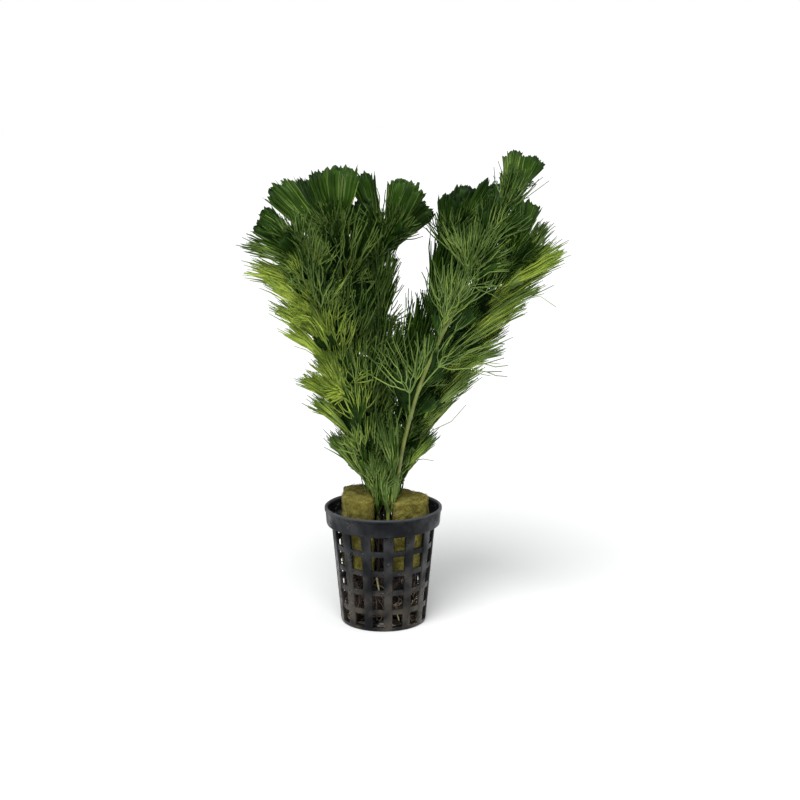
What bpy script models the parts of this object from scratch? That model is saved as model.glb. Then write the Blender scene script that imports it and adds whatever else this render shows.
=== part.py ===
"""Yellow cabomba in a net pot: six stems of forked leaves held in a slotted basket by two rock wool blocks.

Lengths are in millimetres and become metres where a mesh is made. The origin is the centre of the pot's base,
+Z is up, and the side that is seen first faces -Y.
"""
import math
import random

import bpy
from mathutils import Vector

MM = 0.001
GAP = 0.35

# Net pot
POT_HEIGHT = 50.4
BASE_RADIUS = 18.2
WALL_TOP_RADIUS = 22.1
WALL_TOP_Z = 42.0
WALL = 1.2
COLLAR_FOOT_Z = 43.0
COLLAR_FOOT_RADIUS = 24.2
RIM_RADIUS = 25.0
COLLAR_WALL = 1.4
RIBS = 14
RIB_WIDTH = 4.0
FIRST_RIB_DEG = 6.5
ROWS = 5
ROW_PITCH = 8.65
FIRST_ROW_Z = 4.3
OPENING_HEIGHT = 6.3
BOTTOM_RING = 1.7
FLOOR_DISC_RADIUS = 7.0
FLOOR_SLOT_RADIUS = 15.2
FLOOR = 1.4

# Rock wool
WOOL_FOOT_Z = 24.5
WOOL_TOP_Z = 55.2
WOOL_ROUGHNESS = 0.5
LEFT_PLAN = [
    (-4.2, -14.0), (-4.0, -7.0), (-4.0, 0.0), (-4.2, 7.0), (-5.0, 13.0), (-9.5, 14.4),
    (-14.2, 13.2), (-17.0, 8.8), (-17.4, 1.0), (-17.2, -6.0), (-14.5, -12.0), (-9.0, -15.5),
]
RIGHT_PLAN = [
    (4.3, -14.0), (8.5, -16.0), (14.0, -14.0), (18.8, -9.0), (19.4, -3.5), (17.6, 2.0),
    (13.0, 6.8), (8.8, 9.6), (5.2, 10.4), (4.4, 7.0), (4.4, 0.0), (5.2, -8.0),
]

# Roots
ROOT_FOOT_Z = 2.4
ROOT_TOP_Z = 23.0
ROOT_RADIUS = 11.6
ROOT_CENTRE = (0.8, 3.2)

# Stems and leaves
STEM_SIDES = 6
STEM_RINGS = 12
STEM_FOOT_RADIUS = 1.05
STEM_TIP_RADIUS = 0.6
STALK_WIDTH = 1.8
TUFT_SIDES = 8
TUFT_ROWS = 5
TOOTH_ROOT = 0.82
TOOTH_REACH = 0.2
NOTCH_REACH = 0.05
FULL_WIDTH_AT = 0.8
FLARE = 1.1
FOLLOW = 0.37

# Each stem is a hand-laid line of points from its cut end to its tip. Each of its leaf tufts is
# (height of the stalk on the stem, tip, width of the blunt end seen from the front, its depth).
STEMS = {
    "stem_1": {
        "line": [
            (1.6, -9.0, 13.0), (2.2, -9.0, 50.0), (3.0, -9.0, 54.5), (5.7, -9.5, 63.0), (9.2, -12.0, 82.2),
            (15.8, -14.5, 106.0), (26.3, -16.0, 130.7), (35.6, -14.0, 151.7),
            (48.5, -9.0, 173.7), (56.0, -7.0, 182.7),
        ],
        "tufts": [
            (176.5, (52.1, -4.0, 198.8), 8.0, 5.0),
            (181.0, (62.2, -9.0, 196.1), 8.0, 5.0),
            (149.5, (36.4, -24.0, 171.6), 22.0, 5.0),
            (128.5, (28.0, -28.0, 156.9), 18.0, 6.0),
            (104.5, (43.7, -29.0, 128.4), 20.0, 6.0),
            (91.5, (7.9, -28.0, 127.1), 20.0, 6.0),
            (59.5, (1.9, -22.0, 90.0), 8.0, 6.0),
        ],
    },
    "stem_2": {
        "line": [
            (-1.8, -4.0, 24.0), (-2.2, -4.5, 50.0), (-4.3, -5.0, 60.9), (-8.9, -7.0, 79.1),
            (-15.7, -9.0, 105.3), (-23.7, -10.5, 130.0), (-29.1, -11.5, 150.7), (-32.6, -12.0, 160.7),
        ],
        "tufts": [
            (157.5, (-50.0, -8.0, 174.0), 10.0, 8.0),
            (147.0, (-52.8, -19.0, 163.3), 9.0, 9.0),
            (137.5, (-52.9, -8.0, 153.8), 8.0, 10.0),
            (128.0, (-46.0, -20.0, 145.0), 8.0, 10.0),
            (117.0, (-42.9, -8.0, 135.7), 8.5, 10.0),
            (104.0, (-37.3, -19.0, 124.0), 8.5, 10.0),
            (88.0, (-32.5, -6.0, 109.0), 9.0, 10.0),
            (74.5, (-28.4, -17.0, 94.6), 8.0, 10.0),
            (58.5, (-21.2, -6.0, 81.5), 7.0, 9.0),
            (131.5, (-25.4, -37.0, 157.4), 16.0, 7.0),
        ],
    },
    "stem_3": {
        "line": [
            (-1.8, 0.5, 24.0), (-1.8, 0.5, 50.0), (-2.9, 1.0, 60.7), (-6.3, 2.5, 81.9),
            (-11.1, 4.0, 107.1), (-15.3, 5.0, 132.2), (-18.2, 5.0, 153.3), (-19.5, 4.5, 163.4),
        ],
        "tufts": [
            (149.5, (-45.2, 4.0, 184.8), 11.5, 8.0),
            (158.0, (-26.8, 8.0, 190.3), 9.0, 7.0),
            (161.5, (-16.8, -3.0, 193.1), 14.0, 6.0),
            (137.5, (-12.8, -19.0, 172.0), 20.0, 7.0),
            (112.5, (-11.2, -20.5, 147.2), 17.0, 7.0),
            (85.5, (-8.4, -26.0, 121.8), 13.0, 6.0),
            (58.5, (-1.9, -18.0, 93.3), 8.0, 5.0),
            (135.5, (-27.6, 29.5, 164.6), 16.0, 8.0),
            (143.0, (-36.0, 17.5, 187.5), 5.0, 4.0),
        ],
    },
    "stem_4": {
        "line": [
            (-1.6, 5.0, 24.0), (-1.6, 5.5, 50.0), (-1.5, 7.5, 62.6), (-1.5, 11.0, 81.7),
            (-2.6, 15.0, 106.9), (-3.4, 17.0, 132.0), (-2.0, 16.0, 152.1), (0.2, 14.0, 161.1),
        ],
        "tufts": [
            (156.0, (-7.0, 15.0, 188.4), 13.0, 7.0),
            (160.0, (11.6, 4.5, 186.3), 13.5, 6.0),
            (151.0, (18.6, 15.0, 175.4), 12.5, 7.0),
            (119.5, (3.4, 8.0, 148.4), 11.0, 7.0),
            (91.5, (6.7, 1.0, 127.4), 13.0, 7.0),
            (133.5, (-7.8, 39.0, 161.9), 18.0, 8.0),
            (107.5, (-20.0, 37.0, 133.9), 17.0, 8.0),
            (81.5, (-18.0, 28.0, 105.9), 15.0, 8.0),
        ],
    },
    "stem_5": {
        "line": [
            (1.8, 9.0, 24.0), (1.8, 9.0, 50.0), (3.0, 10.5, 62.6), (6.2, 13.5, 81.7),
            (12.0, 17.0, 106.8), (18.8, 19.0, 128.9), (25.0, 19.0, 149.0), (28.6, 18.0, 161.1),
        ],
        "tufts": [
            (151.5, (29.3, 9.5, 182.0), 13.0, 6.0),
            (159.0, (37.6, 22.5, 184.1), 13.0, 6.0),
            (149.0, (47.2, 14.0, 184.9), 12.0, 6.0),
            (131.5, (24.4, 9.0, 162.3), 9.5, 5.0),
            (101.0, (17.5, 10.0, 136.0), 10.0, 5.0),
            (127.5, (37.1, 39.0, 155.8), 18.0, 8.0),
            (95.5, (22.2, 38.0, 122.6), 17.0, 8.0),
        ],
    },
    "stem_6": {
        "line": [
            (2.0, 1.0, 24.0), (2.0, 1.0, 50.0), (4.2, 1.0, 61.8), (11.8, 1.0, 81.9),
            (20.9, 2.0, 103.6), (30.9, 3.0, 122.7), (42.1, 4.0, 137.8), (51.6, 4.5, 150.8),
        ],
        "tufts": [
            (149.5, (61.3, 15.0, 178.5), 12.0, 7.0),
            (147.5, (67.2, 5.5, 167.6), 9.0, 8.0),
            (134.5, (72.5, -9.0, 159.0), 8.0, 9.5),
            (122.5, (65.6, 7.0, 147.3), 8.5, 9.5),
            (109.5, (56.4, -7.0, 136.5), 8.0, 10.0),
            (96.5, (47.4, 5.0, 122.5), 8.0, 10.0),
            (83.0, (39.0, -7.0, 106.7), 8.0, 10.0),
            (70.5, (30.7, 5.0, 93.1), 8.0, 10.0),
            (57.5, (22.4, -6.0, 77.5), 7.0, 9.0),
        ],
    },
}


def clear_scene():
    for obj in list(bpy.data.objects):
        bpy.data.objects.remove(obj, do_unlink=True)


def make_material(name, colour, roughness):
    material = bpy.data.materials.new(name)
    material.use_nodes = True
    shader = material.node_tree.nodes["Principled BSDF"]
    shader.inputs["Base Color"].default_value = (*colour, 1.0)
    shader.inputs["Roughness"].default_value = roughness
    shader.inputs["Metallic"].default_value = 0.0
    return material


def add_piece(name, points, faces, material, smooth_deg=40.0):
    """Make one named solid from points in millimetres."""
    mesh = bpy.data.meshes.new(name)
    mesh.from_pydata([tuple(c * MM for c in point) for point in points], [], faces)
    mesh.materials.append(material)
    mesh.shade_smooth()
    mesh.set_sharp_from_angle(angle=math.radians(smooth_deg))
    piece = bpy.data.objects.new(name, mesh)
    bpy.context.collection.objects.link(piece)
    return piece


def wall_radius(z):
    """Outer radius of the tapered wall at a height."""
    return BASE_RADIUS + (WALL_TOP_RADIUS - BASE_RADIUS) * z / WALL_TOP_Z


def pot_stations():
    """Section of the pot from its floor disc to its rim: (outer point, inner point, opening above it)."""
    stations = [
        ((FLOOR_DISC_RADIUS, 0.0), (FLOOR_DISC_RADIUS, FLOOR), True),
        ((FLOOR_SLOT_RADIUS, 0.0), (FLOOR_SLOT_RADIUS, FLOOR), False),
        ((BASE_RADIUS - 0.5, 0.0), (BASE_RADIUS - WALL, FLOOR), False),
    ]
    for row in range(ROWS):
        middle = FIRST_ROW_Z + row * ROW_PITCH
        foot = max(middle - OPENING_HEIGHT / 2, BOTTOM_RING)
        head = middle + OPENING_HEIGHT / 2
        stations.append(((wall_radius(foot), foot), (wall_radius(foot) - WALL, foot), True))
        stations.append(((wall_radius(head), head), (wall_radius(head) - WALL, head), False))
    foot_z = COLLAR_FOOT_Z - 0.4
    collar_inner = RIM_RADIUS - COLLAR_WALL
    stations.append(((WALL_TOP_RADIUS + 0.1, foot_z), (WALL_TOP_RADIUS - WALL, foot_z), False))
    stations.append(((COLLAR_FOOT_RADIUS, COLLAR_FOOT_Z), (collar_inner - 0.6, COLLAR_FOOT_Z + 1.0), False))
    stations.append(((RIM_RADIUS, POT_HEIGHT), (collar_inner, POT_HEIGHT), False))
    return stations


def build_net_pot(material):
    """One shell of revolution with its openings left out, closed along the edge of each opening."""
    stations = pot_stations()
    half = math.degrees(RIB_WIDTH / 2 / (BASE_RADIUS + 2.0))
    angles = []
    for rib in range(RIBS):
        middle = FIRST_RIB_DEG + 360.0 * rib / RIBS
        angles += [math.radians(middle - half), math.radians(middle + half)]
    columns = len(angles)
    points = []
    for outer_point, inner_point, _ in stations:
        for radius, z in (outer_point, inner_point):
            points += [(radius * math.sin(a), -radius * math.cos(a), z) for a in angles]

    def outer(station, column):
        return station * 2 * columns + column % columns

    def inner(station, column):
        return (station * 2 + 1) * columns + column % columns

    def is_solid(station, column):
        return not (stations[station][2] and column % 2 == 1)

    faces = []
    last = len(stations) - 1
    for s in range(last):
        for c in range(columns):
            if not is_solid(s, c):
                continue
            faces.append((outer(s, c), outer(s, c + 1), outer(s + 1, c + 1), outer(s + 1, c)))
            faces.append((inner(s, c), inner(s + 1, c), inner(s + 1, c + 1), inner(s, c + 1)))
            if not is_solid(s, c - 1):
                faces.append((outer(s, c), outer(s + 1, c), inner(s + 1, c), inner(s, c)))
            if not is_solid(s, c + 1):
                faces.append((outer(s, c + 1), inner(s, c + 1), inner(s + 1, c + 1), outer(s + 1, c + 1)))
            if s > 0 and not is_solid(s - 1, c):
                faces.append((outer(s, c), inner(s, c), inner(s, c + 1), outer(s, c + 1)))
            if s + 1 < last and not is_solid(s + 1, c):
                faces.append((outer(s + 1, c), outer(s + 1, c + 1), inner(s + 1, c + 1), inner(s + 1, c)))
    for c in range(columns):
        faces.append((outer(last, c), outer(last, c + 1), inner(last, c + 1), inner(last, c)))
        if not is_solid(0, c):
            faces.append((outer(0, c), outer(0, c + 1), inner(0, c + 1), inner(0, c)))
    faces.append(tuple(outer(0, c) for c in reversed(range(columns))))
    faces.append(tuple(inner(0, c) for c in range(columns)))
    return add_piece("net_pot", points, faces, material, 25.0)


def build_wool_block(name, plan, seed, material):
    """A squashed block: its plan is carried up the pot, kept off the wall, roughened and cut flat on top."""
    rng = random.Random(seed)
    heights = [WOOL_FOOT_Z, 31.0, 38.5, 45.5, 50.5, WOOL_TOP_Z - 0.9, WOOL_TOP_Z - 0.2]
    inset = [1.6, 0.3, 0.0, 0.2, 0.1, 0.2, 1.0]
    sides = len(plan)
    centre = Vector((sum(x for x, y in plan) / sides, sum(y for x, y in plan) / sides))
    points = []
    for z, pull in zip(heights, inset):
        limit = wall_radius(min(z, WALL_TOP_Z)) - WALL - GAP - 0.4
        for x, y in plan:
            spot = Vector((x, y))
            spot -= (spot - centre).normalized() * (pull + rng.uniform(0.0, WOOL_ROUGHNESS))
            if spot.length > limit:
                spot *= limit / spot.length
            points.append((spot.x, spot.y, z + rng.uniform(-0.6, 0.0)))
    faces = []
    for level in range(len(heights) - 1):
        for side in range(sides):
            a = level * sides + side
            b = level * sides + (side + 1) % sides
            faces.append((a, b, b + sides, a + sides))
    foot = len(points)
    points.append((centre.x, centre.y, WOOL_FOOT_Z - 0.6))
    points.append((centre.x, centre.y, WOOL_TOP_Z + 0.1))
    top = (len(heights) - 1) * sides
    for side in range(sides):
        following = (side + 1) % sides
        faces.append((foot, following, side))
        faces.append((foot + 1, top + side, top + following))
    return add_piece(name, points, faces, material, 50.0)


def build_root_tangle(material):
    """A lumpy mat of brown roots and old stem ends that fills the lower half of the pot."""
    rng = random.Random(7)
    rings = 7
    sides = 14
    middle = (ROOT_FOOT_Z + ROOT_TOP_Z) / 2
    half = (ROOT_TOP_Z - ROOT_FOOT_Z) / 2
    centre_x, centre_y = ROOT_CENTRE
    points = [(centre_x, centre_y, ROOT_FOOT_Z)]
    for ring in range(1, rings):
        polar = math.pi * ring / rings
        height = middle - half * math.cos(polar)
        spread = ROOT_RADIUS * math.sin(polar) ** 0.5
        for side in range(sides):
            angle = 2 * math.pi * (side + 0.5 * (ring % 2)) / sides
            radius = spread * (1.0 + rng.uniform(-0.16, 0.10))
            points.append((radius * math.cos(angle) + centre_x, radius * math.sin(angle) + centre_y,
                           height + rng.uniform(-0.7, 0.7)))
    points.append((centre_x, centre_y, ROOT_TOP_Z))
    last = len(points) - 1
    faces = []
    for side in range(sides):
        following = (side + 1) % sides
        faces.append((0, 1 + following, 1 + side))
        faces.append((last, last - sides + side, last - sides + following))
    for ring in range(rings - 2):
        for side in range(sides):
            a = 1 + ring * sides + side
            b = 1 + ring * sides + (side + 1) % sides
            faces.append((a, b, b + sides, a + sides))
    return add_piece("root_tangle", points, faces, material, 60.0)


def smooth_line(points, count):
    """Evenly spaced points on a Catmull-Rom curve through the given ones."""
    knots = [Vector(p) for p in points]
    ends = [knots[0] * 2 - knots[1]] + knots + [knots[-1] * 2 - knots[-2]]
    dense = []
    for i in range(len(knots) - 1):
        a, b, c, d = ends[i:i + 4]
        for step in range(10):
            t = step / 10
            dense.append(0.5 * (2 * b + (c - a) * t + (2 * a - 5 * b + 4 * c - d) * t ** 2
                                + (3 * b - a - 3 * c + d) * t ** 3))
    dense.append(knots[-1])
    lengths = [0.0]
    for a, b in zip(dense, dense[1:]):
        lengths.append(lengths[-1] + (b - a).length)
    line = []
    for i in range(count):
        target = lengths[-1] * i / (count - 1)
        k = min(max(j for j, length in enumerate(lengths) if length <= target + 1e-9), len(dense) - 2)
        share = (target - lengths[k]) / (lengths[k + 1] - lengths[k])
        line.append(dense[k].lerp(dense[k + 1], share))
    return line


def square_frame(along):
    """Two directions square to a given one: the first lies across it as seen from the front."""
    across = along.cross(Vector((0.0, 1.0, 0.0))).normalized()
    return across, along.cross(across)


def direction_at(line, i):
    """Direction of a line at one of its points."""
    return (line[min(i + 1, len(line) - 1)] - line[max(i - 1, 0)]).normalized()


def build_stem(name, knots, material):
    line = smooth_line(knots, STEM_RINGS)
    points = []
    for i, centre in enumerate(line):
        radius = STEM_FOOT_RADIUS + (STEM_TIP_RADIUS - STEM_FOOT_RADIUS) * i / (STEM_RINGS - 1)
        across, up = square_frame(direction_at(line, i))
        for side in range(STEM_SIDES):
            angle = 2 * math.pi * side / STEM_SIDES
            points.append(centre + (across * math.cos(angle) + up * math.sin(angle)) * radius)
    faces = [tuple(reversed(range(STEM_SIDES)))]
    for i in range(STEM_RINGS - 1):
        for side in range(STEM_SIDES):
            a = i * STEM_SIDES + side
            b = i * STEM_SIDES + (side + 1) % STEM_SIDES
            faces.append((a, b, b + STEM_SIDES, a + STEM_SIDES))
    faces.append(tuple(range((STEM_RINGS - 1) * STEM_SIDES, STEM_RINGS * STEM_SIDES)))
    return add_piece(name, points, faces, material)


def stem_point(line, z):
    """The point of a stem at a height, the stem's radius there and its direction."""
    i = min(range(len(line)), key=lambda k: abs(line[k].z - z))
    share = i / (len(line) - 1)
    radius = STEM_FOOT_RADIUS + (STEM_TIP_RADIUS - STEM_FOOT_RADIUS) * share
    return line[i], radius, direction_at(line, i)


def build_leaf_tuft(name, line, tuft, material, seed):
    """A brush of leaves: a narrow stalk that widens to a blunt toothed end, with an oval section."""
    rng = random.Random(seed)
    root_z, tip, width, depth = tuft
    on_stem, stem_radius, up = stem_point(line, root_z)
    tip = Vector(tip)
    outward = tip - on_stem
    outward -= up * outward.dot(up)
    outward.normalize()
    root = on_stem + outward * (stem_radius + 2 * GAP + 0.5 * STALK_WIDTH) + up * 0.5
    length = (tip - root).length
    bend = root + up * length * FOLLOW + outward * 1.0
    points = []
    for row in range(TUFT_ROWS):
        s = TOOTH_ROOT * row / (TUFT_ROWS - 1)
        middle = root * (1 - s) ** 2 + bend * 2 * s * (1 - s) + tip * s ** 2
        along = ((bend - root) * (1 - s) + (tip - bend) * s).normalized()
        across, normal = square_frame(along)
        fullness = min(1.0, s / FULL_WIDTH_AT) ** FLARE
        half_width = 0.5 * (STALK_WIDTH + (width - STALK_WIDTH) * fullness)
        half_depth = 0.5 * (STALK_WIDTH + (depth - STALK_WIDTH) * fullness)
        for side in range(TUFT_SIDES):
            angle = 2 * math.pi * side / TUFT_SIDES
            points.append(middle + across * math.cos(angle) * half_width
                          + normal * math.sin(angle) * half_depth)
    teeth = len(points)
    for tooth in range(2 * TUFT_SIDES):
        angle = math.pi * tooth / TUFT_SIDES
        reach = length * ((NOTCH_REACH if tooth % 2 else TOOTH_REACH) + rng.uniform(-0.03, 0.03))
        swell = 1.0 if tooth % 2 else 1.12
        points.append(middle + along * reach + across * math.cos(angle) * half_width * swell
                      + normal * math.sin(angle) * half_depth * swell)
    points.append(middle + along * length * NOTCH_REACH)
    faces = [tuple(reversed(range(TUFT_SIDES)))]
    for row in range(TUFT_ROWS - 1):
        for side in range(TUFT_SIDES):
            a = row * TUFT_SIDES + side
            b = row * TUFT_SIDES + (side + 1) % TUFT_SIDES
            faces.append((a, b, b + TUFT_SIDES, a + TUFT_SIDES))
    last = (TUFT_ROWS - 1) * TUFT_SIDES
    for side in range(TUFT_SIDES):
        a = last + side
        b = last + (side + 1) % TUFT_SIDES
        near = teeth + 2 * side
        notch = near + 1
        far = teeth + (2 * side + 2) % (2 * TUFT_SIDES)
        faces += [(a, notch, near), (a, b, notch), (b, far, notch)]
    for tooth in range(2 * TUFT_SIDES):
        faces.append((teeth + tooth, teeth + (tooth + 1) % (2 * TUFT_SIDES), len(points) - 1))
    return add_piece(name, points, faces, material, 60.0)


def main():
    clear_scene()
    plastic = make_material("charcoal_plastic", (0.035, 0.040, 0.046), 0.42)
    wool = make_material("rock_wool", (0.30, 0.26, 0.09), 0.95)
    root = make_material("brown_roots", (0.075, 0.045, 0.030), 0.85)
    stem = make_material("stem_green", (0.26, 0.29, 0.08), 0.5)
    leaf = make_material("leaf_green", (0.07, 0.17, 0.025), 0.5)

    build_net_pot(plastic)
    build_wool_block("rock_wool_left", LEFT_PLAN, 3, wool)
    build_wool_block("rock_wool_right", RIGHT_PLAN, 5, wool)
    build_root_tangle(root)
    seed = 100
    for name, stem_data in STEMS.items():
        build_stem(name, stem_data["line"], stem)
        line = smooth_line(stem_data["line"], 160)
        for number, tuft in enumerate(stem_data["tufts"], start=1):
            seed += 1
            build_leaf_tuft(f"leaf_tuft_{name[-1]}_{number:02d}", line, tuft, leaf, seed)


main()
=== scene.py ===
"""Looks of a yellow cabomba in its net pot: basket, old roots, two blocks of rock wool, six stems, forked leaves.

Lengths given here are in millimetres and become metres where a mesh is made.
"""
import math
import random

import bpy
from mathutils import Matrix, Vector, noise


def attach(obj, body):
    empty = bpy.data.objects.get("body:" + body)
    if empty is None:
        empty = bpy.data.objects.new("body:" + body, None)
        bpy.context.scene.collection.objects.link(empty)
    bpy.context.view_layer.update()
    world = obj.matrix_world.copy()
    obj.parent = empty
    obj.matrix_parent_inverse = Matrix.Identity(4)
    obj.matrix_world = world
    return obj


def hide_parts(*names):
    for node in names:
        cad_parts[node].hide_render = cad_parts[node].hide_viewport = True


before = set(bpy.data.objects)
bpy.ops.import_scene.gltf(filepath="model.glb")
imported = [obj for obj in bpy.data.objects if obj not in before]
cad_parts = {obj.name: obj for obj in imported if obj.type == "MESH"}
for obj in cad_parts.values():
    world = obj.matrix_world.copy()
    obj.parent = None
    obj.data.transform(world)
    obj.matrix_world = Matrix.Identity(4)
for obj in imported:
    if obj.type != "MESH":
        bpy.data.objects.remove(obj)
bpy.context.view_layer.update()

# The plant stands on a plain pale floor in soft studio light. The camera stands where the photograph was
# taken: 600 mm in front of the pot, a little higher than the leaf tips, looking slightly down.
MM = 0.001
CAMERA_PLACE = (7.15 * MM, -600.0 * MM, 212.0 * MM)
CAMERA_TILT = math.pi / 2 - 0.1908
FOCAL_LENGTH = 65.3
FLOOR_SIZE = 40.0
FILL_LIGHT = 0.45

scene = bpy.context.scene
scene.view_settings.view_transform = "Standard"

camera_data = bpy.data.cameras.new("camera")
camera_data.sensor_width = 36.0
camera_data.lens = FOCAL_LENGTH
camera_data.clip_start = 0.01
camera = bpy.data.objects.new("camera", camera_data)
camera.location = CAMERA_PLACE
camera.rotation_euler = (CAMERA_TILT, 0.0, 0.0)
scene.collection.objects.link(camera)
scene.camera = camera

world = bpy.data.worlds.new("studio_white")
world.use_nodes = True
world_tree = world.node_tree
fill = world_tree.nodes["Background"]
fill.inputs["Color"].default_value = (0.97, 0.98, 1.0, 1.0)
fill.inputs["Strength"].default_value = FILL_LIGHT
backdrop = world_tree.nodes.new("ShaderNodeBackground")
backdrop.inputs["Color"].default_value = (1.0, 1.0, 1.0, 1.0)
ray = world_tree.nodes.new("ShaderNodeLightPath")
seen = world_tree.nodes.new("ShaderNodeMixShader")
world_tree.links.new(ray.outputs["Is Camera Ray"], seen.inputs["Fac"])
world_tree.links.new(fill.outputs["Background"], seen.inputs[1])
world_tree.links.new(backdrop.outputs["Background"], seen.inputs[2])
world_tree.links.new(seen.outputs["Shader"], world_tree.nodes["World Output"].inputs["Surface"])
scene.world = world


def add_lamp(name, coming_from, softness_deg, strength):
    """A distant soft lamp that shines from a direction."""
    lamp = bpy.data.lights.new(name, "SUN")
    lamp.angle = math.radians(softness_deg)
    lamp.energy = strength
    light = bpy.data.objects.new(name, lamp)
    light.location = coming_from
    light.rotation_euler = (-Vector(coming_from)).to_track_quat("-Z", "Y").to_euler()
    scene.collection.objects.link(light)


add_lamp("key_light", (-0.20, -0.72, 1.05), 40.0, 3.3)
add_lamp("side_light", (0.90, -0.20, 0.60), 60.0, 0.4)


def new_material(name, roughness):
    """A material with a Principled shader, and its node tree and shader."""
    material = bpy.data.materials.new(name)
    material.use_nodes = True
    shader = material.node_tree.nodes["Principled BSDF"]
    shader.inputs["Roughness"].default_value = roughness
    return material, material.node_tree, shader


def add_mesh(name, points, edges, faces, material):
    """One piece from points in millimetres, with its object at the origin."""
    mesh = bpy.data.meshes.new(name)
    mesh.from_pydata([tuple(c * MM for c in point) for point in points], edges, faces)
    if material is not None:
        mesh.materials.append(material)
    piece = bpy.data.objects.new(name, mesh)
    scene.collection.objects.link(piece)
    return piece


def mottle_group():
    """Uneven tone shared by the materials: a coarse and a fine cloud, each from 0 to 1."""
    group = bpy.data.node_groups.new("uneven_tone", "ShaderNodeTree")
    for name in ("Coarse scale", "Fine scale"):
        socket = group.interface.new_socket(name, in_out="INPUT", socket_type="NodeSocketFloat")
        socket.default_value = 100.0
    for name in ("Coarse", "Fine"):
        group.interface.new_socket(name, in_out="OUTPUT", socket_type="NodeSocketFloat")
    inlet = group.nodes.new("NodeGroupInput")
    outlet = group.nodes.new("NodeGroupOutput")
    place = group.nodes.new("ShaderNodeTexCoord")
    for name in ("Coarse", "Fine"):
        cloud = group.nodes.new("ShaderNodeTexNoise")
        cloud.inputs["Detail"].default_value = 4.0
        group.links.new(place.outputs["Object"], cloud.inputs["Vector"])
        group.links.new(inlet.outputs[f"{name} scale"], cloud.inputs["Scale"])
        group.links.new(cloud.outputs["Fac"], outlet.inputs[name])
    return group


UNEVEN_TONE = mottle_group()


def add_tone(tree, coarse_scale, fine_scale):
    """Place the shared uneven tone in a material."""
    tone = tree.nodes.new("ShaderNodeGroup")
    tone.node_tree = UNEVEN_TONE
    tone.inputs["Coarse scale"].default_value = coarse_scale
    tone.inputs["Fine scale"].default_value = fine_scale
    return tone


def add_ramp(tree, source, stops):
    """A colour ramp read from a value: stops are (position, colour)."""
    ramp = tree.nodes.new("ShaderNodeValToRGB")
    elements = ramp.color_ramp.elements
    while len(elements) < len(stops):
        elements.new(0.5)
    for element, (position, colour) in zip(elements, stops):
        element.position = position
        element.color = (*colour, 1.0)
    tree.links.new(source, ramp.inputs["Fac"])
    return ramp.outputs["Color"]


def add_grey_ramp(tree, source, stops):
    """A ramp between greys: stops are (position, grey)."""
    return add_ramp(tree, source, [(position, (grey, grey, grey)) for position, grey in stops])


def add_blend(tree, mask, first, second, mode="MIX"):
    """Blend two colours by a mask."""
    blend = tree.nodes.new("ShaderNodeMix")
    blend.data_type = "RGBA"
    blend.blend_type = mode
    for socket, value in ((blend.inputs["Factor"], mask), (blend.inputs["A"], first), (blend.inputs["B"], second)):
        if isinstance(value, bpy.types.NodeSocket):
            tree.links.new(value, socket)
        elif isinstance(value, float):
            socket.default_value = value
        else:
            socket.default_value = (*value, 1.0)
    return blend.outputs["Result"]


def add_bump(tree, shader, height, strength, distance):
    """Raise a fine relief from a value."""
    bump = tree.nodes.new("ShaderNodeBump")
    bump.inputs["Strength"].default_value = strength
    bump.inputs["Distance"].default_value = distance
    tree.links.new(height, bump.inputs["Height"])
    tree.links.new(bump.outputs["Normal"], shader.inputs["Normal"])


def add_height_mask(tree, low_z, high_z):
    """A mask that rises from 0 at one height to 1 at another."""
    place = tree.nodes.new("ShaderNodeTexCoord")
    split = tree.nodes.new("ShaderNodeSeparateXYZ")
    reach = tree.nodes.new("ShaderNodeMapRange")
    reach.inputs["From Min"].default_value = low_z * MM
    reach.inputs["From Max"].default_value = high_z * MM
    tree.links.new(place.outputs["Object"], split.inputs["Vector"])
    tree.links.new(split.outputs["Z"], reach.inputs["Value"])
    return reach.outputs["Result"]


floor_paint, floor_tree, floor_shader = new_material("pale_floor", 0.7)
floor_tone = add_tone(floor_tree, 3.0, 40.0)
floor_tree.links.new(add_grey_ramp(floor_tree, floor_tone.outputs["Coarse"], [(0.3, 0.85), (0.7, 0.87)]),
                     floor_shader.inputs["Base Color"])
half_floor = FLOOR_SIZE / 2 / MM
floor = add_mesh("floor", [(-half_floor, -half_floor, 0.0), (half_floor, -half_floor, 0.0),
                           (half_floor, half_floor, 0.0), (-half_floor, half_floor, 0.0)],
                 [], [(0, 1, 2, 3)], floor_paint)


# The net pot is one shell of charcoal plastic, moulded in a single shot: fourteen ribs stand a little proud of
# the hoops between five rows of openings, and a plain collar with a thin lip closes the top.
POT_HEIGHT = 50.4
COLLAR_FOOT_Z = 43.0
BASE_RADIUS = 18.2
WALL_TOP_RADIUS = 22.1
WALL_TOP_Z = 42.0
WALL = 1.2
RIM_RADIUS = 25.0
RIBS = 14
RIB_WIDTH = 4.0
FIRST_RIB_DEG = 6.5
ROWS = 5
ROW_PITCH = 8.65
FIRST_ROW_Z = 4.3
OPENING_HEIGHT = 6.3
BOTTOM_RING = 1.7
FLOOR_THICKNESS = 1.4
HOOP_SET_BACK = 0.4


def wall_radius(z):
    """Outer radius of the tapered wall at a height."""
    return BASE_RADIUS + (WALL_TOP_RADIUS - BASE_RADIUS) * z / WALL_TOP_Z


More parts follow.
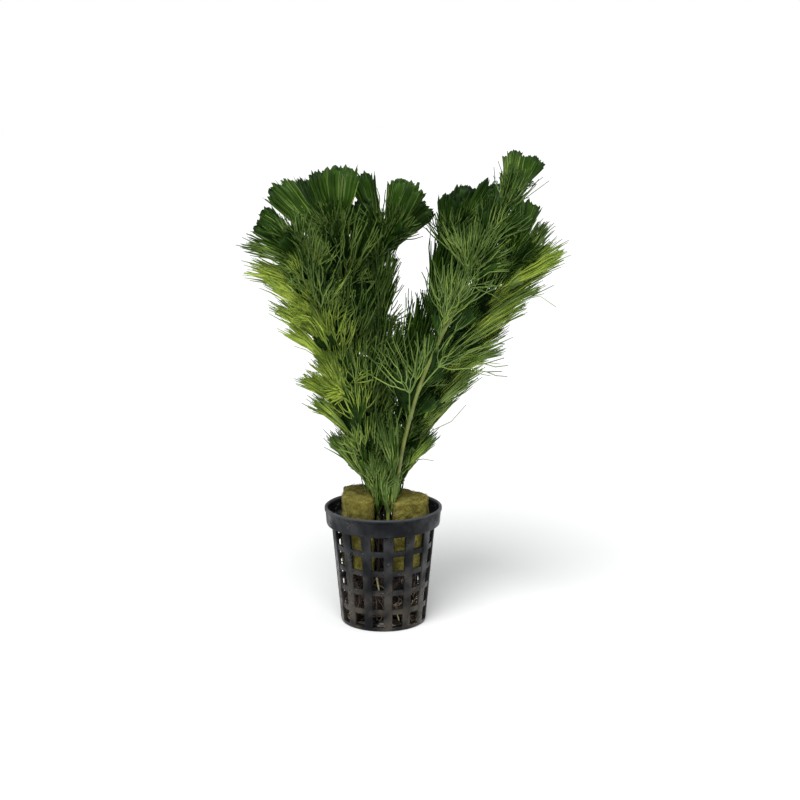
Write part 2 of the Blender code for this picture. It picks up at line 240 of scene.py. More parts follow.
def pot_stations():
    """Section of the pot: (outer radius, z, inner radius, z, openings above it, hoop set back there)."""
    stations = [
        (7.0, 0.0, 7.0, FLOOR_THICKNESS, True, 0.0),
        (15.2, 0.0, 15.2, FLOOR_THICKNESS, False, 0.0),
        (BASE_RADIUS - 0.7, 0.0, BASE_RADIUS - WALL, FLOOR_THICKNESS, False, 0.0),
        (BASE_RADIUS, 0.6, BASE_RADIUS - WALL, FLOOR_THICKNESS + 0.1, False, 0.0),
    ]
    for row in range(ROWS):
        middle = FIRST_ROW_Z + row * ROW_PITCH
        foot = max(middle - OPENING_HEIGHT / 2, BOTTOM_RING)
        head = middle + OPENING_HEIGHT / 2
        set_back = HOOP_SET_BACK if row else 0.0
        stations.append((wall_radius(foot), foot, wall_radius(foot) - WALL, foot, True, set_back))
        set_back = HOOP_SET_BACK if row < ROWS - 1 else 0.0
        stations.append((wall_radius(head), head, wall_radius(head) - WALL, head, False, set_back))
    stations += [
        (WALL_TOP_RADIUS + 0.1, COLLAR_FOOT_Z - 0.4, WALL_TOP_RADIUS - WALL, COLLAR_FOOT_Z - 0.4, False, 0.0),
        (RIM_RADIUS - 0.9, COLLAR_FOOT_Z, RIM_RADIUS - 2.2, COLLAR_FOOT_Z + 1.0, False, 0.0),
        (RIM_RADIUS - 0.7, COLLAR_FOOT_Z + 0.7, RIM_RADIUS - 1.9, COLLAR_FOOT_Z + 1.9, False, 0.0),
        (RIM_RADIUS - 0.35, POT_HEIGHT - 1.7, RIM_RADIUS - 1.5, POT_HEIGHT - 1.7, False, 0.0),
        (RIM_RADIUS + 0.05, POT_HEIGHT - 1.4, RIM_RADIUS - 1.4, POT_HEIGHT - 0.9, False, 0.0),
        (RIM_RADIUS + 0.05, POT_HEIGHT - 0.3, RIM_RADIUS - 1.2, POT_HEIGHT - 0.3, False, 0.0),
        (RIM_RADIUS - 0.3, POT_HEIGHT, RIM_RADIUS - 0.9, POT_HEIGHT, False, 0.0),
    ]
    return stations


def pot_columns():
    """Angles round the pot: (angle, set back there, openings on its far side)."""
    half = RIB_WIDTH / 2 / (BASE_RADIUS + 2.0)
    chamfer = 0.35 / (BASE_RADIUS + 2.0)
    pitch = 2 * math.pi / RIBS
    gap = pitch - 2 * half
    columns = []
    for rib in range(RIBS):
        middle = math.radians(FIRST_RIB_DEG) + pitch * rib
        columns.append((middle - half, True, False))
        for share in (-1.0, -0.33, 0.33, 1.0):
            columns.append((middle + share * (half - chamfer), False, False))
        columns.append((middle + half, True, True))
        columns.append((middle + half + gap / 3, True, True))
        columns.append((middle + half + gap * 2 / 3, True, True))
    return columns


def build_pot(material):
    stations = pot_stations()
    columns = pot_columns()
    count = len(columns)
    points = []
    for outer, outer_z, inner, inner_z, _, set_back in stations:
        for angle, between, _ in columns:
            radius = outer - (set_back if between else 0.0)
            points.append((radius * math.sin(angle), -radius * math.cos(angle), outer_z))
        for angle, _, _ in columns:
            points.append((inner * math.sin(angle), -inner * math.cos(angle), inner_z))

    def outer_at(station, column):
        return station * 2 * count + column % count

    def inner_at(station, column):
        return (station * 2 + 1) * count + column % count

    def is_solid(station, column):
        return not (stations[station][4] and columns[column % count][2])

    faces = []
    last = len(stations) - 1
    for s in range(last):
        for c in range(count):
            if not is_solid(s, c):
                continue
            faces.append((outer_at(s, c), outer_at(s, c + 1), outer_at(s + 1, c + 1), outer_at(s + 1, c)))
            faces.append((inner_at(s, c), inner_at(s + 1, c), inner_at(s + 1, c + 1), inner_at(s, c + 1)))
            if not is_solid(s, c - 1):
                faces.append((outer_at(s, c), outer_at(s + 1, c), inner_at(s + 1, c), inner_at(s, c)))
            if not is_solid(s, c + 1):
                faces.append((outer_at(s, c + 1), inner_at(s, c + 1), inner_at(s + 1, c + 1), outer_at(s + 1, c + 1)))
            if s > 0 and not is_solid(s - 1, c):
                faces.append((outer_at(s, c), inner_at(s, c), inner_at(s, c + 1), outer_at(s, c + 1)))
            if s + 1 < last and not is_solid(s + 1, c):
                faces.append((outer_at(s + 1, c), outer_at(s + 1, c + 1), inner_at(s + 1, c + 1), inner_at(s + 1, c)))
    for c in range(count):
        faces.append((outer_at(last, c), outer_at(last, c + 1), inner_at(last, c + 1), inner_at(last, c)))
        if not is_solid(0, c):
            faces.append((outer_at(0, c), outer_at(0, c + 1), inner_at(0, c + 1), inner_at(0, c)))
    faces.append(tuple(outer_at(0, c) for c in reversed(range(count))))
    faces.append(tuple(inner_at(0, c) for c in range(count)))
    pot = add_mesh("net_pot_basket", points, [], faces, material)
    pot.data.shade_smooth()
    pot.data.set_sharp_from_angle(angle=math.radians(38))
    rounding = pot.modifiers.new("rounded_edges", "BEVEL")
    rounding.width = 0.22 * MM
    rounding.segments = 2
    rounding.limit_method = "ANGLE"
    rounding.angle_limit = math.radians(38)
    return pot


plastic, plastic_tree, plastic_shader = new_material("charcoal_plastic", 0.4)
plastic_tone = add_tone(plastic_tree, 110.0, 1400.0)
charcoal = add_ramp(plastic_tree, plastic_tone.outputs["Coarse"],
                    [(0.30, (0.003, 0.0035, 0.005)), (0.55, (0.007, 0.008, 0.010)), (0.75, (0.022, 0.022, 0.023))])
# The lip's top is painted lighter: partly wear, partly a painted highlight where the rim catches the light.
lip_wear_and_highlight = add_blend(plastic_tree, add_height_mask(plastic_tree, POT_HEIGHT - 0.9, POT_HEIGHT - 0.2), charcoal,
                    (0.050, 0.053, 0.058))
silt = add_grey_ramp(plastic_tree, plastic_tone.outputs["Coarse"], [(0.38, 0.0), (0.62, 0.85)])
low_down = add_height_mask(plastic_tree, 34.0, 8.0)
silt_low_down = add_blend(plastic_tree, 1.0, silt, low_down, "MULTIPLY")
plastic_tree.links.new(add_blend(plastic_tree, silt_low_down, lip_wear_and_highlight, (0.046, 0.037, 0.025)),
                       plastic_shader.inputs["Base Color"])
plastic_tree.links.new(add_grey_ramp(plastic_tree, plastic_tone.outputs["Coarse"], [(0.35, 0.50), (0.6, 0.26)]),
                       plastic_shader.inputs["Roughness"])
plastic_tree.links.new(add_grey_ramp(plastic_tree, plastic_tone.outputs["Coarse"], [(0.40, 0.12), (0.60, 0.30)]),
                       plastic_shader.inputs["Specular IOR Level"])
drops = plastic_tree.nodes.new("ShaderNodeTexVoronoi")
drops.inputs["Scale"].default_value = 300.0
plastic_place = plastic_tree.nodes.new("ShaderNodeTexCoord")
plastic_tree.links.new(plastic_place.outputs["Object"], drops.inputs["Vector"])
drop_domes = add_grey_ramp(plastic_tree, drops.outputs["Distance"], [(0.10, 1.0), (0.30, 0.75), (0.38, 0.0)])
wet_spots = add_grey_ramp(plastic_tree, plastic_tone.outputs["Coarse"], [(0.50, 0.0), (0.56, 1.0)])
relief = add_blend(plastic_tree, 1.0, drop_domes, wet_spots, "MULTIPLY")
add_bump(plastic_tree, plastic_shader, relief, 0.9, 0.0008)
pot = build_pot(plastic)
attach(pot, "root")
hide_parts("net_pot")


# Below the wool the pot holds what is left of the first cuttings: soft brown stem ends, a mat of fine brown
# roots and a few pale live rootlets, all grown into each other and pressed loosely between wool and floor.
ROOT_FOOT_Z = 2.4
ROOT_TOP_Z = 24.0
ROOT_CENTRE = (0.8, 2.0)
ROOT_RADIUS = 12.8
WALL_CLEARANCE = 0.8
MAT_SIDES = 64
MAT_RINGS = 30


def sweep_tree():
    """Geometry nodes that give each line of a mesh a round closed skin, and keep its webs, which have no thickness."""
    tree = bpy.data.node_groups.new("round_skin_along_lines", "GeometryNodeTree")
    tree.is_modifier = True
    tree.interface.new_socket("Draft", in_out="INPUT", socket_type="NodeSocketGeometry")
    sides = tree.interface.new_socket("Sides", in_out="INPUT", socket_type="NodeSocketInt")
    sides.default_value = 3
    sides.min_value = 3
    tree.interface.new_socket("Skin", in_out="INPUT", socket_type="NodeSocketMaterial")
    tree.interface.new_socket("Pieces", in_out="OUTPUT", socket_type="NodeSocketGeometry")
    inlet = tree.nodes.new("NodeGroupInput")
    outlet = tree.nodes.new("NodeGroupOutput")
    thickness = tree.nodes.new("GeometryNodeInputNamedAttribute")
    thickness.data_type = "FLOAT"
    thickness.inputs["Name"].default_value = "thickness"
    is_line = tree.nodes.new("FunctionNodeCompare")
    is_line.data_type = "FLOAT"
    is_line.operation = "GREATER_THAN"
    is_line.inputs["B"].default_value = 0.0
    part_out = tree.nodes.new("GeometryNodeSeparateGeometry")
    part_out.domain = "POINT"
    to_curve = tree.nodes.new("GeometryNodeMeshToCurve")
    section = tree.nodes.new("GeometryNodeCurvePrimitiveCircle")
    section.inputs["Radius"].default_value = 1.0
    skin = tree.nodes.new("GeometryNodeCurveToMesh")
    skin.inputs["Fill Caps"].default_value = True
    join = tree.nodes.new("GeometryNodeJoinGeometry")
    smooth = tree.nodes.new("GeometryNodeSetShadeSmooth")
    realize = tree.nodes.new("GeometryNodeRealizeInstances")
    paint = tree.nodes.new("GeometryNodeSetMaterial")
    tree.links.new(thickness.outputs["Attribute"], is_line.inputs["A"])
    tree.links.new(inlet.outputs["Draft"], part_out.inputs["Geometry"])
    tree.links.new(is_line.outputs["Result"], part_out.inputs["Selection"])
    tree.links.new(part_out.outputs["Selection"], to_curve.inputs["Mesh"])
    tree.links.new(inlet.outputs["Sides"], section.inputs["Resolution"])
    tree.links.new(to_curve.outputs["Curve"], skin.inputs["Curve"])
    tree.links.new(section.outputs["Curve"], skin.inputs["Profile Curve"])
    tree.links.new(thickness.outputs["Attribute"], skin.inputs["Scale"])
    tree.links.new(skin.outputs["Mesh"], join.inputs["Geometry"])
    tree.links.new(part_out.outputs["Inverted"], join.inputs["Geometry"])
    tree.links.new(join.outputs["Geometry"], smooth.inputs["Geometry"])
    tree.links.new(smooth.outputs["Geometry"], realize.inputs["Geometry"])
    tree.links.new(realize.outputs["Geometry"], paint.inputs["Geometry"])
    tree.links.new(inlet.outputs["Skin"], paint.inputs["Material"])
    tree.links.new(paint.outputs["Geometry"], outlet.inputs["Pieces"])
    return tree


SWEEP = sweep_tree()


def input_key(tree, name):
    """Identifier of a named input, which a modifier's value is set by."""
    return next(item.identifier for item in tree.interface.items_tree if item.name == name)


def freeze(piece):
    """Swap a piece's mesh for its evaluated one, and take its modifiers off."""
    evaluated = piece.evaluated_get(bpy.context.evaluated_depsgraph_get())
    plain = bpy.data.meshes.new_from_object(evaluated)
    piece.modifiers.clear()
    draft = piece.data
    piece.data = plain
    plain.name = piece.name
    bpy.data.meshes.remove(draft)
    return piece


def keep_values(mesh, name, values):
    """Keep one value on each point of a mesh."""
    mesh.attributes.new(name, "FLOAT", "POINT").data.foreach_set("value", values)


def skin_lines(name, lines, sides, material, webs=()):
    """One piece from many lines and webs. A line is a list of knots: (point, thickness, tone, place along it)."""
    knots = []
    edges = []
    faces = []
    for line in lines:
        first = len(knots)
        knots += line
        edges += [(first + i, first + i + 1) for i in range(len(line) - 1)]
    for web_knots, web_faces in webs:
        first = len(knots)
        knots += web_knots
        faces += [tuple(first + corner for corner in face) for face in web_faces]
    piece = add_mesh(name, [knot[0] for knot in knots], edges, faces, None)
    for attribute, column, unit in (("thickness", 1, MM), ("tone", 2, 1.0), ("along", 3, 1.0)):
        keep_values(piece.data, attribute, [knot[column] * unit for knot in knots])
    sweep = piece.modifiers.new("skin", "NODES")
    sweep.node_group = SWEEP
    sweep[input_key(SWEEP, "Sides")] = sides
    sweep[input_key(SWEEP, "Skin")] = material
    return freeze(piece)


def read_attribute(tree, name):
    """A value kept on the points of a piece."""
    attribute = tree.nodes.new("ShaderNodeAttribute")
    attribute.attribute_name = name
    return attribute.outputs["Fac"]


ROUGHNESS_SEED = 23
noise.seed_set(ROUGHNESS_SEED)


def rough(point, size, seed):
    """Smooth random displacement of a point, the same on every run."""
    return noise.noise_vector(point / size + Vector((seed * 7.3, seed * 3.1, seed * 5.7)))


def keep_in_pot(point, clearance):
    """Pull a point in to clear the wall and the floor of the pot."""
    limit = wall_radius(point.z) - WALL - clearance
    across = math.hypot(point.x, point.y)
    if across > limit:
        point.x *= limit / across
        point.y *= limit / across
    point.z = max(point.z, FLOOR_THICKNESS + clearance)
    return point


def build_root_mat(material):
    """The felted middle of the roots: a lumpy ball, browner on its left, dark on its right. Its tone falls to near
    black towards its right and its top: painted shade inside the pot under the wool, over the roots' own brown.
    """
    middle = (ROOT_FOOT_Z + ROOT_TOP_Z) / 2
    half = (ROOT_TOP_Z - ROOT_FOOT_Z) / 2
    points = [Vector((*ROOT_CENTRE, ROOT_FOOT_Z))]
    for ring in range(1, MAT_RINGS):
        polar = math.pi * ring / MAT_RINGS
        spread = ROOT_RADIUS * math.sin(polar) ** 0.45
        for side in range(MAT_SIDES):
            angle = 2 * math.pi * side / MAT_SIDES
            point = Vector((ROOT_CENTRE[0] + spread * math.cos(angle), ROOT_CENTRE[1] + spread * math.sin(angle),
                            middle - half * math.cos(polar)))
            point += rough(point, 6.0, 2) * 2.6 + rough(point, 2.0, 4) * 1.3 + rough(point, 0.8, 6) * 0.5
            points.append(keep_in_pot(point, 0.4))
    points.append(Vector((*ROOT_CENTRE, ROOT_TOP_Z)))
    last = len(points) - 1
    faces = []
    for side in range(MAT_SIDES):
        following = (side + 1) % MAT_SIDES
        faces.append((0, 1 + following, 1 + side))
        faces.append((last, last - MAT_SIDES + side, last - MAT_SIDES + following))
    for ring in range(MAT_RINGS - 2):
        for side in range(MAT_SIDES):
            a = 1 + ring * MAT_SIDES + side
            b = 1 + ring * MAT_SIDES + (side + 1) % MAT_SIDES
            faces.append((a, b, b + MAT_SIDES, a + MAT_SIDES))
    mat = add_mesh("root_mat", points, [], faces, material)
    # Tone falls towards the right and the top: painted shade over the roots' own brown.
    keep_values(mat.data, "tone", [0.22 - point.x / 45 - point.z / 80 + 0.35 * rough(point, 5.0, 9).x
                                   for point in points])
    mat.data.shade_smooth()
    return mat


def wander(rng, start, heading, length, steps, curl, thickness, tone):
    """A root: a line that changes its heading a little at every step, kept inside the pot."""
    here = Vector(start)
    heading = Vector(heading).normalized()
    line = []
    for step in range(steps + 1):
        share = step / steps
        line.append((here.copy(), thickness * (1.0 - 0.55 * share), tone, share))
        heading += Vector((rng.gauss(0.0, curl), rng.gauss(0.0, curl), rng.gauss(0.0, curl)))
        heading.normalize()
        here = keep_in_pot(here + heading * (length / steps), WALL_CLEARANCE)
    return line


def root_lines():
    rng = random.Random(11)
    lines = []
    for _ in range(34):
        angle = rng.uniform(0.0, 2 * math.pi)
        radius = ROOT_RADIUS * math.sqrt(rng.uniform(0.5, 1.3))
        start = (ROOT_CENTRE[0] + radius * math.cos(angle), ROOT_CENTRE[1] + radius * math.sin(angle),
                 rng.uniform(14.0, 24.0))
        heading = (rng.gauss(0.0, 0.35), rng.gauss(0.0, 0.35), -1.0)
        lines.append(wander(rng, start, heading, rng.uniform(9.0, 19.0), 7, 0.12,
                            rng.uniform(0.7, 1.25), rng.uniform(0.0, 0.5)))
    for _ in range(300):
        angle = rng.uniform(0.0, 2 * math.pi)
        radius = ROOT_RADIUS * math.sqrt(rng.uniform(0.6, 1.5))
        start = (ROOT_CENTRE[0] + radius * math.cos(angle), ROOT_CENTRE[1] + radius * math.sin(angle),
                 rng.uniform(ROOT_FOOT_Z, 23.0))
        heading = (rng.gauss(0.0, 1.0), rng.gauss(0.0, 1.0), rng.gauss(-0.3, 0.6))
        lines.append(wander(rng, start, heading, rng.uniform(10.0, 30.0), 12, 0.35,
                            rng.uniform(0.14, 0.36), rng.uniform(0.0, 0.6)))
    for _ in range(150):
        start = (rng.uniform(-3.6, 3.8), rng.uniform(-9.5, 14.0), rng.uniform(19.0, 31.0))
        heading = (rng.gauss(0.0, 0.05), rng.gauss(0.0, 0.2), 1.0)
        strand = wander(rng, start, heading, rng.uniform(16.0, 27.0), 8, 0.10, rng.uniform(0.35, 0.75),
                        rng.uniform(0.0, 0.15))
        lines.append([(Vector((max(min(point.x, 3.9), -3.7), point.y, point.z)), *rest) for point, *rest in strand])
    for start, heading, length, thickness in (
            ((-2.6, -15.4, 23.0), (0.25, 0.02, -1.0), 9.0, 0.55),
            ((5.0, -15.4, 11.5), (0.22, 0.05, -1.0), 8.0, 0.50),
            ((5.0, -15.2, 10.0), (1.0, 0.1, 0.55), 6.0, 0.22),
            ((11.0, -12.6, 8.5), (1.0, 0.35, -0.25), 7.0, 0.28),
            ((12.5, -12.1, 12.0), (-0.2, 0.2, -1.0), 7.0, 0.20),
            ((9.0, -13.8, 20.0), (1.0, 0.2, -0.9), 8.0, 0.18),
            ((8.0, -14.2, 22.0), (0.8, 0.1, -0.9), 9.0, 0.16),
            ((16.5, -6.5, 16.0), (-0.4, -0.6, -0.6), 8.0, 0.18),
            ((-13.0, -9.0, 6.5), (-0.6, 0.7, -0.5), 6.0, 0.22)):
        lines.append(wander(rng, start, heading, length, 8, 0.10, thickness, rng.uniform(0.85, 1.0)))
    return lines


root_skin, root_tree, root_shader = new_material("wet_roots", 0.5)
root_tone = add_tone(root_tree, 160.0, 1200.0)
root_colour = add_ramp(root_tree, read_attribute(root_tree, "tone"),
                       [(0.0, (0.010, 0.008, 0.007)), (0.25, (0.070, 0.048, 0.036)),
                        (0.5, (0.20, 0.140, 0.105)), (1.0, (0.42, 0.42, 0.20))])
# The fine cloud that raises the roots' relief also darkens its hollows: painted shade.
root_hollow_shade = add_grey_ramp(root_tree, root_tone.outputs["Fine"], [(0.35, 0.45), (0.6, 1.0)])
root_tree.links.new(add_blend(root_tree, 1.0, root_colour, root_hollow_shade, "MULTIPLY"), root_shader.inputs["Base Color"])
root_shader.inputs["Specular IOR Level"].default_value = 0.3
add_bump(root_tree, root_shader, root_tone.outputs["Fine"], 0.5, 0.0003)
for mass in (build_root_mat(root_skin), skin_lines("roots_and_old_stems", root_lines(), 5, root_skin)):
    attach(mass, "root")
    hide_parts("root_tangle")


# Two blocks of rock wool are pushed into the pot on either side of the stems and hold them by friction. The
# wool is spun mineral fibre, soaked and stained yellow-brown, cut flat on top and torn along its foot.
WOOL_FOOT_Z = 24.5
LEFT_TOP_Z = 56.3
RIGHT_TOP_Z = 55.3
LEFT_PLAN = [(-4.2, -14.0), (-4.0, -7.0), (-4.0, 0.0), (-4.2, 7.0), (-5.0, 13.0), (-9.5, 14.4),
             (-14.2, 13.2), (-17.0, 8.8), (-17.4, 1.0), (-17.2, -6.0), (-14.5, -12.0), (-9.0, -15.5)]
RIGHT_PLAN = [(4.3, -14.0), (8.5, -16.0), (14.0, -14.0), (18.8, -9.0), (19.4, -3.5), (17.6, 2.0),
              (13.0, 6.8), (8.8, 9.6), (5.2, 10.4), (4.4, 7.0), (4.4, 0.0), (5.2, -8.0)]
WOOL_COLUMNS = 96
WOOL_LEVELS = 44
WOOL_CAP_RINGS = 14


def smooth_line(points, count, closed=False):
    """Evenly spaced points on a Catmull-Rom curve through the given ones."""
    knots = [Vector(p) for p in points]
    if closed:
        ends = [knots[-1]] + knots + knots[:2]
        spans = len(knots)
    else:
        ends = [knots[0] * 2 - knots[1]] + knots + [knots[-1] * 2 - knots[-2]]
        spans = len(knots) - 1
    dense = []
    for i in range(spans):
        a, b, c, d = ends[i:i + 4]
        for step in range(10):
            t = step / 10
            dense.append(0.5 * (2 * b + (c - a) * t + (2 * a - 5 * b + 4 * c - d) * t ** 2
                                + (3 * b - a - 3 * c + d) * t ** 3))
    dense.append(dense[0].copy() if closed else knots[-1])
    lengths = [0.0]
    for a, b in zip(dense, dense[1:]):
        lengths.append(lengths[-1] + (b - a).length)
    line = []
    k = 0
    for i in range(count):
        target = lengths[-1] * i / (count if closed else count - 1)
        while k < len(dense) - 2 and lengths[k + 1] <= target:
            k += 1
        line.append(dense[k].lerp(dense[k + 1], (target - lengths[k]) / (lengths[k + 1] - lengths[k])))
    return line


def build_wool(name, plan, top_z, seed, material):
    """A torn block: the plan carried up the pot, closed by a flat cut top and a ragged foot, then roughened."""
    outline = smooth_line([(x, y, 0.0) for x, y in plan], WOOL_COLUMNS, closed=True)
    centre = sum(outline, Vector()) / WOOL_COLUMNS
    rings = []
    for ring in range(1, WOOL_CAP_RINGS):
        share = ring / WOOL_CAP_RINGS
        rings.append((share, WOOL_FOOT_Z - 0.2 + 1.6 * share ** 6))
    for level in range(WOOL_LEVELS + 1):
        rings.append((1.0, WOOL_FOOT_Z + 1.4 + (top_z - 0.5 - WOOL_FOOT_Z - 1.4) * level / WOOL_LEVELS))
    for ring in range(1, WOOL_CAP_RINGS):
        share = 1.0 - ring / WOOL_CAP_RINGS
        rings.append((share, top_z - 0.5 * share ** 12))
    points = [Vector((centre.x, centre.y, WOOL_FOOT_Z - 0.2))]
    for share, z in rings:
        limit = wall_radius(min(z, WALL_TOP_Z)) - WALL - 0.5
        ragged = 1.8 if z < 30.0 else 0.7
        for spot in outline:
            place = centre.lerp(spot, share)
            place.z = z
            away = Vector((spot.x - centre.x, spot.y - centre.y, 0.0)).normalized()
            swell = rough(place, 7.0, seed).x * 0.9 + rough(place, 2.2, seed).x * 0.6 + rough(place, 0.9, seed).x * 0.3
            place += away * (swell - 0.4) * share
            place.z += (rough(place, 6.0, seed).z * 0.9 + rough(place, 1.6, seed).z * 0.6) * ragged
            across = math.hypot(place.x, place.y)
            if across > limit:
                place.x *= limit / across
                place.y *= limit / across
            points.append(place)
    points.append(Vector((centre.x, centre.y, top_z)))
    faces = []
    for side in range(WOOL_COLUMNS):
        faces.append((0, 1 + (side + 1) % WOOL_COLUMNS, 1 + side))
    for ring in range(len(rings) - 1):
        for side in range(WOOL_COLUMNS):
            a = 1 + ring * WOOL_COLUMNS + side
            b = 1 + ring * WOOL_COLUMNS + (side + 1) % WOOL_COLUMNS
            faces.append((a, b, b + WOOL_COLUMNS, a + WOOL_COLUMNS))
    top = 1 + (len(rings) - 1) * WOOL_COLUMNS
    for side in range(WOOL_COLUMNS):
        faces.append((len(points) - 1, top + side, top + (side + 1) % WOOL_COLUMNS))
    block = add_mesh(name, points, [], faces, material)
    block.data.shade_smooth()
    return block


def fibre_tree():
    """Geometry nodes that scatter short bent fibres over a block and lay them along its surface."""
    tree = bpy.data.node_groups.new("fibres_over_surface", "GeometryNodeTree")
    tree.is_modifier = True
    tree.interface.new_socket("Block", in_out="INPUT", socket_type="NodeSocketGeometry")
    for name, value in (("Fibres per m2", 6.0e5), ("Fibre length", 2.4 * MM), ("Fibre radius", 0.07 * MM)):
        socket = tree.interface.new_socket(name, in_out="INPUT", socket_type="NodeSocketFloat")
        socket.default_value = value
    tree.interface.new_socket("Seed", in_out="INPUT", socket_type="NodeSocketInt")
    tree.interface.new_socket("Skin", in_out="INPUT", socket_type="NodeSocketMaterial")
    tree.interface.new_socket("Pieces", in_out="OUTPUT", socket_type="NodeSocketGeometry")
    nodes, links = tree.nodes, tree.links
    inlet = nodes.new("NodeGroupInput")
    outlet = nodes.new("NodeGroupOutput")
    scatter = nodes.new("GeometryNodeDistributePointsOnFaces")
    links.new(inlet.outputs["Block"], scatter.inputs["Mesh"])
    links.new(inlet.outputs["Fibres per m2"], scatter.inputs["Density"])
    links.new(inlet.outputs["Seed"], scatter.inputs["Seed"])
    bow = nodes.new("GeometryNodeCurveQuadraticBezier")
    bow.inputs["Resolution"].default_value = 3
    bow.inputs["Start"].default_value = (-0.5, 0.0, 0.0)
    bow.inputs["Middle"].default_value = (0.0, 0.25, 0.12)
    bow.inputs["End"].default_value = (0.5, 0.0, 0.05)
    stretch = nodes.new("GeometryNodeTransform")
    to_size = nodes.new("ShaderNodeCombineXYZ")
    for axis in "XYZ":
        links.new(inlet.outputs["Fibre length"], to_size.inputs[axis])
    links.new(bow.outputs["Curve"], stretch.inputs["Geometry"])
    links.new(to_size.outputs["Vector"], stretch.inputs["Scale"])
    section = nodes.new("GeometryNodeCurvePrimitiveCircle")
    section.inputs["Resolution"].default_value = 3
    links.new(inlet.outputs["Fibre radius"], section.inputs["Radius"])
    fibre = nodes.new("GeometryNodeCurveToMesh")
    fibre.inputs["Fill Caps"].default_value = True
    links.new(stretch.outputs["Geometry"], fibre.inputs["Curve"])
    links.new(section.outputs["Curve"], fibre.inputs["Profile Curve"])
    spin = nodes.new("FunctionNodeRandomValue")
    spin.data_type = "FLOAT_VECTOR"
    spin.inputs["Min"].default_value = (-0.3, -0.3, 0.0)
    spin.inputs["Max"].default_value = (0.3, 0.3, 2 * math.pi)
    turn = nodes.new("FunctionNodeEulerToRotation")
    links.new(spin.outputs["Value"], turn.inputs["Euler"])
    lay = nodes.new("FunctionNodeRotateRotation")
    lay.rotation_space = "LOCAL"
    links.new(scatter.outputs["Rotation"], lay.inputs["Rotation"])
    links.new(turn.outputs["Rotation"], lay.inputs["Rotate By"])
    sizes = nodes.new("FunctionNodeRandomValue")
    sizes.data_type = "FLOAT"
    sizes.inputs["Min"].default_value = 0.4
    sizes.inputs["Max"].default_value = 1.3
    place = nodes.new("GeometryNodeInstanceOnPoints")
    links.new(scatter.outputs["Points"], place.inputs["Points"])
    links.new(fibre.outputs["Mesh"], place.inputs["Instance"])
    links.new(lay.outputs["Rotation"], place.inputs["Rotation"])
    links.new(next(o for o in sizes.outputs if o.type == "VALUE" and o.enabled), place.inputs["Scale"])
    join = nodes.new("GeometryNodeJoinGeometry")
    links.new(place.outputs["Instances"], join.inputs["Geometry"])
    links.new(inlet.outputs["Block"], join.inputs["Geometry"])
    realize = nodes.new("GeometryNodeRealizeInstances")
    paint = nodes.new("GeometryNodeSetMaterial")
    links.new(join.outputs["Geometry"], realize.inputs["Geometry"])
    links.new(realize.outputs["Geometry"], paint.inputs["Geometry"])
    links.new(inlet.outputs["Skin"], paint.inputs["Material"])
    links.new(paint.outputs["Geometry"], outlet.inputs["Pieces"])
    return tree


FIBRES = fibre_tree()


def add_fibres(block, seed, material):
    """Cover a block with fibres and make the two one plain mesh."""
    cover = block.modifiers.new("fibres", "NODES")
    cover.node_group = FIBRES
    cover[input_key(FIBRES, "Seed")] = seed
    cover[input_key(FIBRES, "Skin")] = material
    return freeze(block)


stone_wool, wool_tree, wool_shader = new_material("rock_wool", 0.9)
wool_tone = add_tone(wool_tree, 220.0, 1800.0)
# The coarse cloud spreads the wool's colour at random. Its middle stop is the wool's own stained olive; its darker and
# lighter stops are painted shade and a painted highlight on its lumps.
wool_colour = add_ramp(wool_tree, wool_tone.outputs["Coarse"],
                       [(0.32, (0.130, 0.112, 0.018)), (0.50, (0.180, 0.160, 0.030)), (0.70, (0.26, 0.238, 0.064))])
# The fine cloud that raises the wool's relief darkens its pits: painted shade.
wool_pit_shade = add_ramp(wool_tree, wool_tone.outputs["Fine"], [(0.36, (0.72, 0.70, 0.64)), (0.6, (1.0, 1.0, 1.0))])
wool_tree.links.new(add_blend(wool_tree, 1.0, wool_colour, wool_pit_shade, "MULTIPLY"), wool_shader.inputs["Base Color"])
wool_shader.inputs["Specular IOR Level"].default_value = 0.2
add_bump(wool_tree, wool_shader, wool_tone.outputs["Fine"], 0.6, 0.0006)
for side_name, plan, top_z, seed in (("left", LEFT_PLAN, LEFT_TOP_Z, 3), ("right", RIGHT_PLAN, RIGHT_TOP_Z, 5)):
    block = build_wool(f"wool_block_{side_name}", plan, top_z, seed, stone_wool)
    wool = add_fibres(block, seed, stone_wool)
    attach(wool, "root")
    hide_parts(f"rock_wool_{side_name}")


